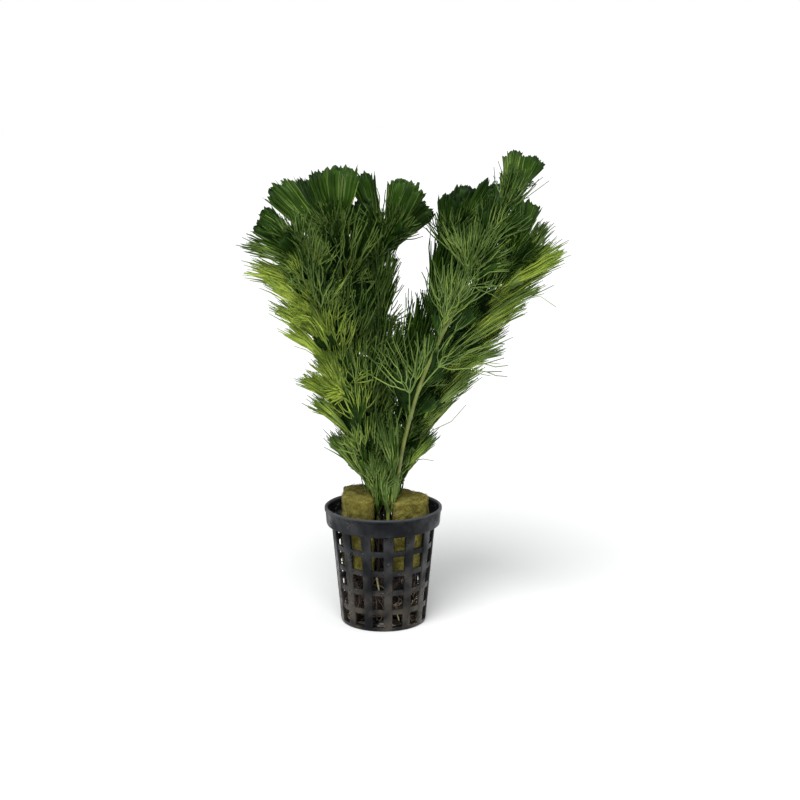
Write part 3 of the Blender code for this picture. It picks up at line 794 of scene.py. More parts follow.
# Six cuttings stand side by side in the slit between the wool blocks and lean apart above it. Each stem is a
# slender green rod, swollen a little where a whorl of leaves leaves it; the front one is the palest.
STEM_LINES = {
    "stem_1": [(1.6, -9.0, 13.0), (2.2, -9.0, 50.0), (3.0, -9.0, 54.5), (5.7, -9.5, 63.0), (9.2, -12.0, 82.2),
               (15.8, -14.5, 106.0), (26.3, -16.0, 130.7), (35.6, -14.0, 151.7), (48.5, -9.0, 173.7),
               (56.0, -7.0, 182.7)],
    "stem_2": [(-1.8, -4.0, 24.0), (-2.2, -4.5, 50.0), (-4.3, -5.0, 60.9), (-8.9, -7.0, 79.1),
               (-15.7, -9.0, 105.3), (-23.7, -10.5, 130.0), (-29.1, -11.5, 150.7), (-32.6, -12.0, 160.7)],
    "stem_3": [(-1.8, 0.5, 24.0), (-1.8, 0.5, 50.0), (-2.9, 1.0, 60.7), (-6.3, 2.5, 81.9),
               (-11.1, 4.0, 107.1), (-15.3, 5.0, 132.2), (-18.2, 5.0, 153.3), (-19.5, 4.5, 163.4)],
    "stem_4": [(-1.6, 5.0, 24.0), (-1.6, 5.5, 50.0), (-1.5, 7.5, 62.6), (-1.5, 11.0, 81.7),
               (-2.6, 15.0, 106.9), (-3.4, 17.0, 132.0), (-2.0, 16.0, 152.1), (0.2, 14.0, 161.1)],
    "stem_5": [(1.8, 9.0, 24.0), (1.8, 9.0, 50.0), (3.0, 10.5, 62.6), (6.2, 13.5, 81.7),
               (12.0, 17.0, 106.8), (18.8, 19.0, 128.9), (25.0, 19.0, 149.0), (28.6, 18.0, 161.1)],
    "stem_6": [(2.0, 1.0, 24.0), (2.0, 1.0, 50.0), (4.2, 1.0, 61.8), (11.8, 1.0, 81.9),
               (20.9, 2.0, 103.6), (30.9, 3.0, 122.7), (42.1, 4.0, 137.8), (51.6, 4.5, 150.8)],
}
STEM_FOOT_RADIUS = 1.05
STEM_TIP_RADIUS = 0.6
STEM_POINTS = 160
STEM_SIDES = 10

STEM_COURSES = {name: smooth_line(line, STEM_POINTS) for name, line in STEM_LINES.items()}

# Each stem carries whorls of leaves. A leaf is a short stalk with four to seven rays that fork three times into
# flat threads. Out of the water the wet threads cling together as paddles and brushes with blunt ends.
# A row is (height of the stalk, tip, width seen from the front, depth, habit, yellowness). The yellowness is partly the
# leaves' own yellow-green; on the leaves at the plant's left and right edges it is raised as painted light shining
# through them.
WHORLS = {
    "stem_1": [
        (176.5, (53.6, -4.0, 199.3), 8.5, 6.0, "paddle", 0.40),
        (181.0, (62.2, -9.0, 197.0), 10.0, 6.0, "paddle", 0.32),
        (149.5, (37.6, -24.0, 171.0), 32.0, 6.0, "spray", 0.46),
        (128.5, (28.6, -28.0, 156.4), 29.0, 6.0, "spray", 0.48),
        (104.5, (43.7, -29.0, 128.4), 34.0, 6.0, "fan", 0.50),
        (91.5, (7.4, -28.0, 127.1), 37.0, 6.0, "fan", 0.50),
        (59.5, (1.9, -22.0, 90.0), 10.0, 6.0, "open", 0.45),
    ],
    "stem_2": [
        (157.5, (-50.3, -8.0, 173.4), 15.0, 8.0, "paddle", 0.20),
        (147.0, (-52.8, -19.0, 163.3), 11.0, 9.0, "brush", 0.45),
        (137.5, (-52.2, -8.0, 153.8), 12.0, 10.0, "brush", 0.86),
        (128.0, (-44.5, -20.0, 147.0), 8.0, 10.0, "brush", 1.00),
        (117.0, (-42.9, -8.0, 136.5), 9.0, 10.0, "brush", 1.00),
        (104.0, (-36.8, -19.0, 129.5), 8.0, 10.0, "brush", 1.00),
        (88.0, (-31.8, -6.0, 107.5), 10.0, 10.0, "brush", 0.85),
        (74.5, (-27.6, -17.0, 99.2), 7.5, 10.0, "brush", 0.68),
        (58.5, (-21.8, -6.0, 82.3), 8.5, 9.0, "brush", 0.50),
        (131.5, (-25.4, -37.0, 157.4), 26.0, 8.0, "open", 0.45),
    ],
    "stem_3": [
        (149.5, (-45.2, 4.0, 185.6), 14.5, 8.0, "paddle", 0.42),
        (158.0, (-26.8, 8.0, 190.8), 12.5, 7.0, "paddle", 0.22),
        (161.5, (-16.8, -3.0, 193.1), 17.0, 7.0, "paddle", 0.52),
        (137.5, (-10.8, -19.0, 174.0), 28.0, 7.0, "open", 0.55),
        (112.5, (-11.2, -20.5, 147.2), 26.0, 7.0, "open", 0.50),
        (85.5, (-8.4, -26.0, 121.8), 24.0, 6.0, "open", 0.52),
        (58.5, (-1.9, -18.0, 93.3), 12.0, 6.0, "open", 0.50),
        (135.5, (-27.6, 29.5, 164.6), 26.0, 8.0, "open", 0.35),
        (143.0, (-36.0, 17.5, 187.5), 6.0, 5.0, "paddle", 0.10),
    ],
    "stem_4": [
        (156.0, (-9.4, 15.0, 190.3), 13.0, 7.0, "paddle", 0.22),
        (160.0, (10.3, 4.5, 187.0), 17.5, 7.0, "paddle", 0.42),
        (151.0, (18.2, 15.0, 177.6), 15.0, 7.0, "paddle", 0.38),
        (119.5, (2.2, 8.0, 148.4), 14.0, 7.0, "open", 0.42),
        (91.5, (4.8, 1.0, 129.0), 18.0, 7.0, "open", 0.42),
        (133.5, (-7.8, 39.0, 161.9), 26.0, 8.0, "open", 0.40),
        (107.5, (-20.0, 37.0, 133.9), 24.0, 8.0, "open", 0.42),
        (81.5, (-18.0, 28.0, 105.9), 22.0, 8.0, "open", 0.42),
    ],
    "stem_5": [
        (151.5, (29.3, 9.5, 182.0), 12.5, 7.0, "paddle", 0.18),
        (159.0, (37.6, 22.5, 184.1), 15.0, 7.0, "paddle", 0.18),
        (149.0, (47.2, 14.0, 184.9), 14.0, 7.0, "paddle", 0.22),
        (131.5, (26.2, 9.0, 162.3), 12.0, 6.0, "open", 0.28),
        (101.0, (19.0, 10.0, 137.5), 17.0, 6.0, "open", 0.28),
        (127.5, (37.1, 39.0, 155.8), 26.0, 8.0, "open", 0.32),
        (95.5, (22.2, 38.0, 122.6), 24.0, 8.0, "open", 0.36),
    ],
    "stem_6": [
        (149.5, (61.3, 15.0, 178.5), 14.0, 8.0, "paddle", 0.30),
        (147.5, (67.2, 5.5, 167.6), 11.0, 8.0, "brush", 0.45),
        (134.5, (72.5, -9.0, 159.0), 10.0, 10.0, "brush", 0.75),
        (122.5, (67.0, 7.0, 150.8), 10.0, 10.0, "brush", 0.75),
        (109.5, (56.0, -7.0, 138.0), 9.0, 10.0, "brush", 0.66),
        (96.5, (50.0, 5.0, 125.8), 9.0, 10.0, "brush", 0.62),
        (83.0, (38.3, -7.0, 110.0), 8.0, 10.0, "brush", 0.60),
        (70.5, (29.3, 5.0, 97.3), 7.0, 10.0, "brush", 0.60),
        (57.5, (21.0, -6.0, 80.8), 6.5, 9.0, "brush", 0.55),
    ],
}
STEM_TONES = {"stem_1": 1.0, "stem_2": 0.4, "stem_3": 0.3, "stem_4": 0.3, "stem_5": 0.3, "stem_6": 0.5}


def stem_line(course, tone, whorls):
    """Centre line of a stem with its thickness, which swells where a whorl sits."""
    line = []
    for i, point in enumerate(course):
        share = i / (len(course) - 1)
        radius = STEM_FOOT_RADIUS + (STEM_TIP_RADIUS - STEM_FOOT_RADIUS) * share
        swell = sum(math.exp(-((point.z - z) / 0.9) ** 2) for z in whorls)
        line.append((point, radius * (0.95 + 0.3 * min(swell, 1.0)), tone, share))
    return line


stem_skin, stem_tree, stem_shader = new_material("stem_green", 0.38)
stem_tone = add_tone(stem_tree, 180.0, 1500.0)
stem_colour = add_ramp(stem_tree, read_attribute(stem_tree, "tone"),
                       [(0.0, (0.045, 0.085, 0.018)), (0.5, (0.14, 0.19, 0.035)), (1.0, (0.205, 0.245, 0.050))])
stem_shade = add_grey_ramp(stem_tree, stem_tone.outputs["Coarse"], [(0.35, 0.6), (0.65, 1.0)])
stem_tree.links.new(add_blend(stem_tree, 1.0, stem_colour, stem_shade, "MULTIPLY"), stem_shader.inputs["Base Color"])
add_bump(stem_tree, stem_shader, stem_tone.outputs["Fine"], 0.2, 0.0001)

for name, course in STEM_COURSES.items():
    rod = skin_lines(f"green_{name}", [stem_line(course, STEM_TONES[name], [row[0] for row in WHORLS[name]])],
                     STEM_SIDES, stem_skin)
    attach(rod, "root")
    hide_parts(name)

# How a leaf lies. All kinds: how many rays it has, which share of the whorl's width it spans, how far its threads
# leave its surface, how far it turns, where along its stalk it opens, where it stands in the whorl's depth, the
# radius at each fork, and its web: from, to, columns, lightness. A clinging leaf: how its rays bow, how far its threads
# cling in bunches, how far the bunches reach and where it forks. A free leaf: how long its arms are from fork to
# fork, how often each forks and how far its arms part.
# A web's lightness scales its leaf's tone down, so a web is darker than its threads: painted shade between them.
LEAF_KINDS = {
    "felt": {"rays": 4, "span": 0.66, "lift": 0.03, "turn": 0.12, "foot": (0.10, 0.26), "through": (-0.5, 0.5),
             "threads": (0.30, 0.28, 0.27, 0.26, 0.24), "web": (0.28, 1.05, 13, 0.55),
             "bow": 0.80, "cling": 0.80, "reach": (0.93, 1.0), "forks": (0.20, 0.42, 0.70)},
    # The dark kind is a near-black leaf set behind the others: painted shade deep in a whorl.
    "dark": {"rays": 3, "span": 0.85, "lift": 0.05, "turn": 0.30, "foot": (0.12, 0.26), "through": (-0.6, -0.1),
             "threads": (0.32, 0.30, 0.28, 0.26, 0.18), "web": (0.24, 0.84, 9, 0.0),
             "bow": 0.85, "cling": 0.30, "reach": (0.80, 1.04), "forks": (0.16, 0.38, 0.64)},
    "spike": {"rays": 3, "span": 0.64, "lift": 0.15, "turn": 0.30, "foot": (0.12, 0.28), "through": (-0.5, 0.5),
              "threads": (0.34, 0.36, 0.40, 0.42, 0.13), "web": (0.20, 0.50, 7, 0.62), "bow": 0.85,
              "arms": (0.18, 0.25, 0.28, 0.32), "fork": (1.0, 0.9, 0.4), "part": 0.50},
    "lace": {"rays": 3, "span": 1.00, "lift": 0.15, "turn": 0.20, "foot": (0.10, 0.22), "through": (-0.2, 0.5),
             "threads": (0.34, 0.30, 0.29, 0.28, 0.26, 0.18), "web": None,
             "arms": (0.12, 0.18, 0.22, 0.24, 0.28), "fork": (1.0, 0.8, 0.4, 0.15), "part": 0.72},
    "fan": {"rays": 5, "span": 1.00, "lift": 0.10, "turn": 0.08, "foot": (0.33, 0.36), "through": (-0.1, 0.1),
            "threads": (0.42, 0.34, 0.30, 0.28, 0.26, 0.18), "web": None,
            "arms": (0.10, 0.20, 0.23, 0.24, 0.27), "fork": (0.6, 0.9, 0.5, 0.3), "part": 0.72},
    "spray": {"rays": 5, "span": 1.00, "lift": 0.15, "turn": 0.12, "foot": (0.05, 0.09), "through": (-0.4, 0.4),
              "threads": (0.38, 0.32, 0.29, 0.28, 0.26, 0.18), "web": None,
              "arms": (0.14, 0.19, 0.22, 0.24, 0.26), "fork": (0.6, 0.9, 0.5, 0.2), "part": 0.72},
}
# An open whorl sets dark leaves behind its lace ones as painted shade.
WHORL_KINDS = {"paddle": ("felt",) * 5, "brush": ("spike",) * 4, "open": ("lace", "dark", "lace", "dark"),
               "fan": ("fan",), "spray": ("spray", "spray")}
BUNCH_LEVEL = 2
ARM_RETURN = 0.35
STALK_RADIUS = 0.42
FOLLOW = {"paddle": 0.37, "brush": 0.48, "open": 0.37, "fan": 0.37, "spray": 0.37}
WEB_STATIONS = 7
WEB_THICKNESS = 0.36
# Near-black tone of the dark kind, which is painted shade inside the plant, and how many loose dark leaves stand round
# each whorl.
PAINTED_SHADE_TONE = 0.14
PAINTED_SHADE_LEAVES = 4
LACE_LEAVES = 5
SPIKE_LEAVES = 10
SHEATH_LEAVES = 9
SHEATH_Z = (43.0, 49.0)

# The whole plant's outline seen from the front, in the plane of the pot's axis. Leaves between the whorls, which
# stand out from a stem on any side, keep inside it.
EYE = Vector((7.15, -600.0, 212.0))
OUTLINE = [(-10, 61), (-11, 66), (-15, 71), (-21, 77), (-21, 82), (-19, 87), (-27, 93), (-31, 102), (-32, 107),
           (-28, 112), (-29, 118), (-31, 123), (-38, 128), (-40, 133), (-41, 143), (-47, 148), (-51, 156),
           (-52, 164), (-50, 172), (-45, 178), (-44, 185), (-36, 186), (-28, 190), (-8, 191), (-2, 186), (-2, 179),
           (2, 184), (12, 186), (17, 182), (20, 176), (17, 170), (14, 166), (7, 162), (4, 153), (6, 144), (8, 136),
           (12, 135), (13, 142), (17, 148), (18, 157), (21, 164), (22, 177), (24, 182), (34, 185), (42, 186),
           (49, 195), (63, 195), (64, 188), (60, 182), (61, 177), (65, 171), (71, 157), (69, 151), (62, 142),
           (55, 133), (49, 126), (47, 120), (48, 116), (42, 111), (35, 106), (34, 101), (28, 97), (24, 91),
           (22, 86), (22, 79), (16, 71), (12, 66), (9, 61)]

# Leaves a little above a whorl, in the same form as a row of WHORLS: most cover the front stem's thin upper end.
UPPER_LEAVES = {
    "1_01": [(170.0, (55.5, -15.0, 190.0), 10.0, 5.0, "open", 0.40)],
    "1_03": [(158.0, (47.0, -20.0, 180.0), 16.0, 6.0, "open", 0.36),
             (160.0, (55.0, -18.0, 176.0), 14.0, 6.0, "open", 0.40)],
    "2_05": [(112.0, (-33.0, -20.0, 138.0), 14.0, 6.0, "brush", 0.80)],
    "2_07": [(94.0, (-26.0, -20.0, 118.0), 13.0, 6.0, "brush", 0.75)],
    "4_01": [(146.0, (-10.0, 4.0, 179.0), 13.0, 6.0, "paddle", 0.20)],
    "4_04": [(126.0, (3.2, 8.0, 155.5), 9.0, 6.0, "open", 0.36)],
    "4_05": [(80.0, (2.0, 2.0, 107.0), 18.0, 6.0, "open", 0.38), (70.0, (3.0, 0.0, 95.0), 12.0, 5.0, "open", 0.36)],
    "5_03": [(118.0, (34.0, 6.0, 148.0), 16.0, 6.0, "open", 0.26)],
    "5_05": [(92.0, (11.0, 6.0, 126.0), 14.0, 5.0, "open", 0.32)],
    "5_06": [(138.0, (44.0, 8.0, 166.0), 20.0, 6.0, "open", 0.26)],
    "6_02": [(130.0, (48.0, 4.0, 163.0), 18.0, 6.0, "open", 0.28)],
    "6_04": [(116.0, (62.5, -3.0, 144.0), 8.0, 6.0, "brush", 0.66)],
    "6_06": [(98.0, (46.0, -4.0, 117.0), 5.0, 5.0, "brush", 0.50)],
}

# Single threads that stand out from the rest, by the leaves they belong to.
STRAY_THREADS = {
    "1_01": [[(49.3, 0.0, 187.8), (48.4, -1.0, 191.9), (47.0, -2.0, 195.5)]],
    "1_02": [[(52.5, -8.0, 178.1), (58.0, -9.0, 184.2), (64.6, -11.0, 189.4)],
             [(53.3, -8.0, 177.3), (59.7, -8.0, 182.1), (67.2, -9.0, 187.8)]],
    "1_05": [[(39.0, -14.0, 117.1), (44.6, -16.0, 119.9), (49.8, -17.0, 122.6)],
             [(38.3, -14.0, 113.8), (43.9, -16.0, 114.6), (47.9, -17.0, 114.3)]],
    "1_06": [[(8.0, -20.0, 127.9), (9.2, -22.0, 136.3), (9.3, -23.0, 144.1)],
             [(10.4, -20.0, 128.7), (12.0, -22.0, 136.3), (12.3, -23.0, 142.9)]],
    "2_02": [[(-48.7, -12.0, 159.4), (-53.3, -14.0, 161.2), (-57.2, -15.0, 161.7)]],
    "2_06": [[(-26.5, -12.0, 116.0), (-31.3, -13.0, 119.5), (-36.2, -13.0, 121.1)]],
    "2_09": [[(-4.6, -8.0, 62.6), (-8.7, -10.0, 66.5), (-13.7, -11.0, 69.3)]],
    "5_03": [[(46.4, 12.0, 183.2), (46.7, 10.0, 188.2), (46.1, 9.0, 192.8)]],
    "6_04": [[(57.2, -3.0, 138.8), (64.7, -6.0, 140.8), (71.2, -8.0, 136.5)]],
    "6_07": [[(35.1, -12.0, 110.2), (39.9, -14.0, 109.7), (44.4, -15.0, 109.0)]],
    "6_08": [[(20.5, -5.0, 84.0), (28.5, -8.0, 88.5), (34.5, -9.0, 95.7)]],
    "6_09": [[(12.2, -6.0, 71.2), (16.8, -8.0, 72.5), (21.4, -9.0, 71.9)]],
}


def fan_place(kind, opening, distance, across):
    """Place along and beside a leaf's middle line, of a point at a distance from its foot and a share across."""
    angle = across * opening
    return distance * math.cos(angle), distance ** kind["bow"] * math.sin(angle)


def free_threads(rng, kind, opening):
    """Threads of a leaf whose arms part at every fork and bend back a little: (level, points), lengths in blades."""
    threads = []
    arms = kind["arms"]
    parting = kind["part"] * min(1.0, opening / 0.4)
    spread = max(opening - 0.5 * parting * ARM_RETURN * sum(kind["fork"]), 0.4 * opening)

    def grow(start, heading, swing, level):
        along, beside, lift = start
        length = arms[level] * rng.uniform(0.75, 1.22)
        leaving = heading + swing
        heading += swing * ARM_RETURN
        raised = lift + rng.gauss(0.0, kind["lift"]) * length
        half_way = (along + 0.5 * length * math.cos(leaving), beside + 0.5 * length * math.sin(leaving),
                    0.5 * (lift + raised))
        end = (half_way[0] + 0.5 * length * math.cos(heading), half_way[1] + 0.5 * length * math.sin(heading), raised)
        threads.append((level, [start, half_way, end] if level else [start, end]))
        if level + 1 == len(arms):
            return
        half = 0.5 * parting * rng.uniform(0.7, 1.3)
        if rng.random() < kind["fork"][level]:
            grow(end, heading, half, level + 1)
            grow(end, heading, -half, level + 1)
        else:
            grow(end, heading, rng.uniform(-0.5, 0.5) * half, level + 1)

    for ray in range(kind["rays"]):
        place = 2.0 * (ray + 0.5) / kind["rays"] - 1.0
        grow((0.0, 0.0, 0.0), 1.3 * spread * (place + rng.uniform(-0.15, 0.15)), 0.0, 0)
    return threads


def clinging_threads(rng, kind, opening):
    """Threads of a leaf that cling in bunches, as free threads, and the bunches: (share across, reach)."""
    threads = []
    bunches = []
    fork_reach = (*kind["forks"], 1.0)
    last = len(fork_reach) - 1

    def grow(start, low, high, level, bunch):
        distance, across, lift = start
        aim = 0.5 * (low + high) + rng.uniform(-0.22, 0.22) * (high - low)
        reach = fork_reach[level] * rng.uniform(0.88, 1.12)
        if level == BUNCH_LEVEL:
            bunch = (aim, rng.uniform(*kind["reach"]))
            bunches.append(bunch)
        elif level > BUNCH_LEVEL:
            aim = bunch[0] + (aim - bunch[0]) * (1.0 - kind["cling"])
            reach = bunch[1] * rng.uniform(0.97, 1.0)
        reach = max(reach, distance + 0.08)
        raised = lift + rng.gauss(0.0, kind["lift"]) * (reach - distance)
        sway = rng.gauss(0.0, 0.06) * (high - low)
        middle = (distance + 0.38 * (reach - distance), across + 0.70 * (aim - across) + sway, 0.5 * (lift + raised))
        end = (reach, aim, raised)
        threads.append((level, [(*fan_place(kind, opening, knot[0], knot[1]), knot[2])
                                for knot in ([start, middle, end] if level else [start, end])]))
        if level == last:
            return
        split = low + (high - low) * rng.uniform(0.38, 0.62)
        if level + 1 < last or rng.random() < 0.7:
            grow(end, low, split, level + 1, bunch)
            grow(end, split, high, level + 1, bunch)
        else:
            grow(end, low, high, level + 1, bunch)

    for ray in range(kind["rays"]):
        low = -1.0 + 2.0 * ray / kind["rays"]
        grow((0.0, 0.0, 0.0), low, low + 2.0 / kind["rays"], 0, None)
    return threads, bunches


def quadratic(start, bend, end, s):
    """Point and direction on a quadratic Bezier curve."""
    point = start * (1 - s) ** 2 + bend * 2 * s * (1 - s) + end * s ** 2
    return point, ((bend - start) * (1 - s) + (end - bend) * s).normalized()


def leaf_place(leaf, along, beside, lift):
    """Point of a leaf from its place along and beside its middle line and its lift, each in blade lengths."""
    blade = (leaf["tip"] - leaf["foot"]).length
    middle, heading = quadratic(leaf["foot"], leaf["bend"], leaf["tip"], along)
    side = (leaf["side_way"] - heading * leaf["side_way"].dot(heading)).normalized()
    point = middle + side * beside * blade
    point += heading.cross(side) * ((leaf["cup"] * beside * beside + lift) * blade)
    return point + rough(point, 9.0, leaf["seed"]) * 1.1 * along


def leaf_web(rng, leaf, kind, opening, bunches, tone):
    """Film of water and clinging threads: a thin closed sheet with a ragged end, streaked along the threads. Its
    lightness scales its leaf's tone down, so the sheet is darker than its threads: painted shade between them.
    """
    start, end, columns, light = kind["web"]
    half = 0.5 * WEB_THICKNESS / (leaf["tip"] - leaf["foot"]).length
    streaks = []
    for column in range(columns):
        across = 0.96 * (2.0 * column / (columns - 1) - 1.0)
        reach = min(bunches, key=lambda bunch: abs(bunch[0] - across))[1]
        streaks.append((across, end * reach * rng.uniform(0.93, 1.0), rng.gauss(0.0, 0.015), rng.gauss(0.0, 0.08)))
    ring = [(streak, half) for streak in streaks] + [(streak, -half) for streak in reversed(streaks)]
    knots = []
    faces = []
    for station in range(WEB_STATIONS):
        share = station / (WEB_STATIONS - 1)
        for (across, reach, lift, shade), side in ring:
            distance = start + (reach - start) * share
            place = fan_place(kind, opening, distance, across)
            # The web's tone, its leaf's tone scaled by the web's lightness, is painted shade between the threads.
            knots.append((leaf_place(leaf, *place, lift * share + side), 0.0, max(tone * light + shade, 0.0),
                          0.1 + 0.9 * min(distance, 1.0)))
    size = len(ring)
    for station in range(WEB_STATIONS - 1):
        for c in range(size):
            low = station * size
            high = low + size
            faces.append((low + c, high + c, high + (c + 1) % size, low + (c + 1) % size))
    top = (WEB_STATIONS - 1) * size
    for c in range(columns - 1):
        faces.append((c, c + 1, size - 2 - c, size - 1 - c))
        faces.append((top + size - 1 - c, top + size - 2 - c, top + c + 1, top + c))
    return knots, faces


def build_leaf(rng, stem_spot, foot, bend, tip, side_way, half_width, kind, tone):
    """Stalk, forked threads and web of one leaf."""
    tone = min(max(tone + rng.gauss(0.0, 0.04), 0.0), 1.0)
    heading = (bend - foot).normalized()
    knee = foot - heading * (foot - stem_spot).length * 0.5
    lines = [[(quadratic(stem_spot, knee, foot, share)[0], STALK_RADIUS * (1.0 - 0.2 * share), tone, 0.1 * share)
              for share in (0.0, 0.35, 0.7, 1.0)]]
    leaf = {"foot": foot, "bend": bend, "tip": tip, "side_way": side_way, "cup": rng.uniform(-0.15, 0.3),
            "seed": rng.uniform(0.0, 50.0)}
    opening = math.asin(min(half_width / (tip - foot).length, 0.95))
    radii = kind["threads"]
    if "arms" in kind:
        threads = free_threads(rng, kind, opening)
        bunches = [(0.0, 1.0)]
    else:
        threads, bunches = clinging_threads(rng, kind, opening)
    for level, route in threads:
        thickness = rng.uniform(0.88, 1.1)
        thread_tone = max(tone + rng.gauss(0.0, 0.09), 0.0)
        line = []
        for step, (along, beside, lift) in enumerate(route):
            share = step / (len(route) - 1)
            radius = radii[level] + (radii[level + 1] - radii[level]) * share
            line.append((leaf_place(leaf, along, beside, lift), radius * thickness, thread_tone,
                         0.1 + 0.9 * min(math.hypot(along, beside), 1.0)))
        lines.append(line)
    webs = [leaf_web(rng, leaf, kind, opening, bunches, tone)] if kind["web"] else []
    return lines, webs


def stem_place(course, height):
    """Point of a stem at a height, its radius there and its direction."""
    i = min(range(len(course)), key=lambda k: abs(course[k].z - height))
    radius = STEM_FOOT_RADIUS + (STEM_TIP_RADIUS - STEM_FOOT_RADIUS) * i / (len(course) - 1)
    return course[i], radius, (course[min(i + 1, len(course) - 1)] - course[max(i - 1, 0)]).normalized()


def whorl_leaves(rng, course, root_z, tip, width, depth, habit, tone):
    """The leaves of one whorl: their stalks leave the stem one after another and their blades overlap."""
    lines = []
    webs = []
    tip = Vector(tip)
    kinds = WHORL_KINDS[habit]
    for number, kind_name in enumerate(kinds):
        kind = LEAF_KINDS[kind_name]
        spot, radius, up = stem_place(course, root_z + (rng.uniform(-3.0, 1.5) if len(kinds) > 2 else 0.0))
        outward = tip - spot
        outward -= up * outward.dot(up)
        outward.normalize()
        root = spot + outward * (radius + 1.2) + up * 0.5
        length = (tip - root).length
        axis = (tip - root).normalized()
        flat = axis.cross(Vector((0.0, 1.0, 0.0))).normalized()
        face = axis.cross(flat)
        place = 2.0 * number / max(len(kinds) - 1, 1) - 1.0
        across = (place + rng.uniform(-0.15, 0.15)) * (1.0 - kind["span"])
        shift = flat * across * 0.5 * width + face * rng.uniform(*kind["through"]) * depth
        leaf_tip = tip + shift - axis * 0.25 * length * across * across
        bend = root + up * length * FOLLOW[habit] + outward * 1.0 + shift * 0.5
        foot = quadratic(root, bend, leaf_tip, rng.uniform(*kind["foot"]))[0]
        turn = rng.gauss(0.0, kind["turn"])
        plane = flat * math.cos(turn) + face * math.sin(turn)
        blade_bend = foot + (bend - foot) * 0.5 + (leaf_tip - foot) * 0.25
        leaf = build_leaf(rng, spot + outward * radius * 0.5, foot, blade_bend, leaf_tip, plane,
                          0.5 * kind["span"] * width, kind, PAINTED_SHADE_TONE if kind_name == "dark" else tone)
        lines += leaf[0]
        webs += leaf[1]
    return lines, webs


def in_outline(point):
    """Whether a point lies inside the plant's outline as seen from the front."""
    scale = -EYE.y / (point.y - EYE.y)
    x = EYE.x + (point.x - EYE.x) * scale
    z = EYE.z + (point.z - EYE.z) * scale
    inside = False
    for (x0, z0), (x1, z1) in zip(OUTLINE, OUTLINE[1:] + OUTLINE[:1]):
        if (z0 > z) != (z1 > z) and x < x0 + (x1 - x0) * (z - z0) / (z1 - z0):
            inside = not inside
    return inside


def loose_leaf(rng, course, heights, sides, depths, lean, reach, half_width, kind, tone):
    """One leaf that stands out from a stem on given sides, between two leans from the stem's own direction."""
    for _ in range(40):
        spot, radius, up = stem_place(course, rng.uniform(*heights))
        side_x = rng.uniform(*sides)
        outward = Vector((side_x, math.sqrt(1.0 - side_x * side_x) * rng.choice(depths), 0.0))
        outward = (outward - up * outward.dot(up)).normalized()
        angle = rng.uniform(*lean)
        length = rng.uniform(*reach)
        tip = spot + (up * math.cos(angle) + outward * math.sin(angle)) * length
        foot = spot + outward * (radius + 0.2 * length * math.sin(angle)) + up * (0.22 * length * math.cos(angle))
        turn = rng.uniform(-0.7, 0.7)
        flat = (tip - foot).cross(Vector((0.0, 1.0, 0.0))).normalized()
        plane = flat * math.cos(turn) + Vector((0.0, 1.0, 0.0)) * math.sin(turn)
        half = half_width * rng.uniform(0.7, 1.15)
        if in_outline(tip) and in_outline(tip + plane * half) and in_outline(tip - plane * half):
            bend = foot + (up * 0.45 + outward * 0.25) * (tip - foot).length
            return build_leaf(rng, spot + outward * radius * 0.5, foot, bend, tip, plane, half, kind, tone)
    return [], []


leaf_skin, leaf_tree, leaf_shader = new_material("leaf_green", 0.5)
leaf_tone = add_tone(leaf_tree, 90.0, 900.0)
# The ramp's near-black low end serves the dark leaves and the webs as painted shade. Its yellow high end, on the leaves
# at the left and right edges, is partly painted light shining through them.
leaf_colour = add_ramp(leaf_tree, read_attribute(leaf_tree, "tone"),
                       [(0.0, (0.010, 0.028, 0.003)), (0.15, (0.026, 0.071, 0.006)), (0.3, (0.062, 0.138, 0.010)),
                        (0.5, (0.228, 0.328, 0.095)), (0.75, (0.390, 0.510, 0.075)), (1.0, (0.640, 0.760, 0.130))])
leaf_shade = add_ramp(leaf_tree, leaf_tone.outputs["Coarse"],
                      [(0.35, (0.52, 0.58, 0.52)), (0.65, (1.0, 1.0, 1.0))])
leaf_ends = add_ramp(leaf_tree, read_attribute(leaf_tree, "along"),
                     [(0.1, (1.0, 1.0, 1.0)), (0.80, (1.0, 1.0, 1.0)), (1.0, (0.46, 0.54, 0.48))])
leaf_mottled = add_blend(leaf_tree, 1.0, leaf_colour, leaf_shade, "MULTIPLY")
leaf_tree.links.new(add_blend(leaf_tree, 1.0, leaf_mottled, leaf_ends, "MULTIPLY"), leaf_shader.inputs["Base Color"])
leaf_shader.inputs["Specular IOR Level"].default_value = 0.1

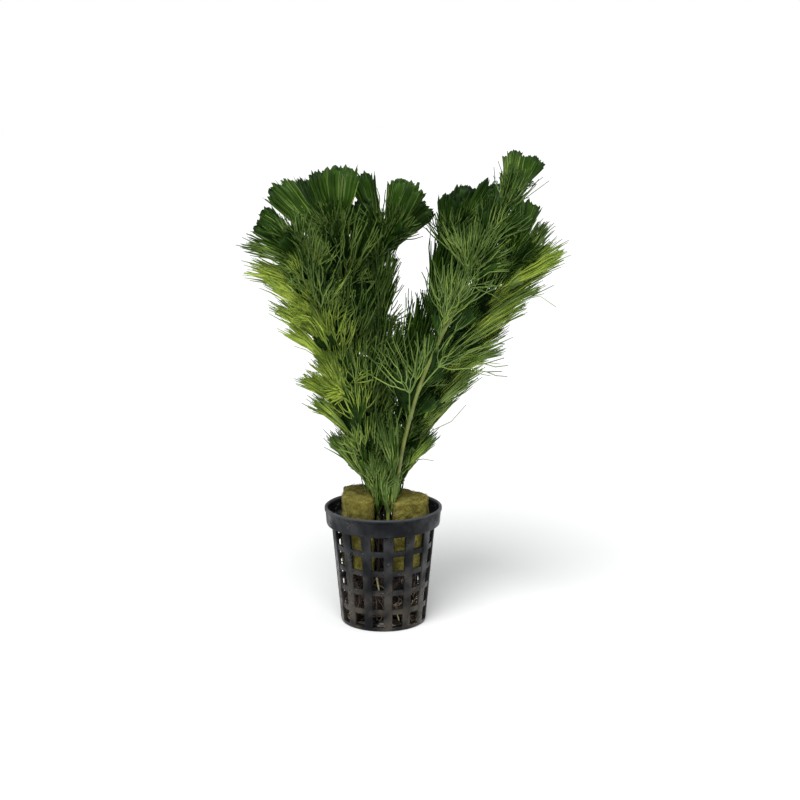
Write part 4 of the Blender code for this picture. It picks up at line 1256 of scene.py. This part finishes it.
seed = 100
for name, rows in WHORLS.items():
    course = STEM_COURSES[name]
    for number, (root_z, tip, width, depth, habit, tone) in enumerate(rows, start=1):
        seed += 1
        rng = random.Random(seed)
        label = f"{name[-1]}_{number:02d}"
        lines, webs = whorl_leaves(rng, course, root_z, tip, width, depth, habit, tone)
        for row in UPPER_LEAVES.get(label, []):
            upper = whorl_leaves(rng, course, *row)
            lines += upper[0]
            webs += upper[1]
        behind = name == "stem_1" and root_z < 140.0
        around = (root_z - 7.0, root_z + 3.0)
        # Loose dark leaves round the whorl are painted shade inside the plant.
        loose = [("dark", around, (-1.0, 1.0), (1.0,) if behind else (-1.0, 1.0), (0.1, 0.5),
                  (15.0, 24.0), 8.0, PAINTED_SHADE_TONE)] * PAINTED_SHADE_LEAVES
        loose += [("lace", around, (-1.0, 1.0), (1.0,) if behind else (-1.0, -1.0, 1.0), (0.25, 0.75),
                   (15.0, 25.0), 10.0, {"stem_2": 0.33 + 0.36 * tone, "stem_6": 0.24 + 0.2 * tone}.get(
                       name, 0.33 + 0.2 * tone))] * LACE_LEAVES
        if habit == "brush" and name == "stem_2":
            loose += [("spike", around, (-1.0, -0.35), (-1.0, 1.0), (0.35, 1.1), (14.0, 27.0), 5.0,
                       tone)] * SPIKE_LEAVES
        elif habit == "brush":
            loose += [("spike", around, (0.6, 1.0), (-1.0, 1.0), (0.3, 0.9), (14.0, 24.0), 5.0,
                       tone)] * SPIKE_LEAVES
        if root_z < 60.0:
            loose += [("lace", SHEATH_Z, (-1.0, 1.0), (-1.0, 1.0), (0.02, 0.23), (19.0, 25.0), 3.2,
                       0.44)] * SHEATH_LEAVES
        for kind_name, heights, sides, depths, lean, reach, half_width, loose_tone in loose:
            leaf = loose_leaf(rng, course, heights, sides, depths, lean, reach, half_width,
                              LEAF_KINDS[kind_name], loose_tone)
            lines += leaf[0]
            webs += leaf[1]
        for stray in STRAY_THREADS.get(label, []):
            lines.append([(Vector(point), radius, tone, along) for point, radius, along
                          in zip(stray, (0.20, 0.18, 0.13), (0.5, 0.8, 1.0))])
        leaves = skin_lines(f"leaves_{label}", lines, 3, leaf_skin, webs)
        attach(leaves, "root")
        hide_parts(f"leaf_tuft_{label}")
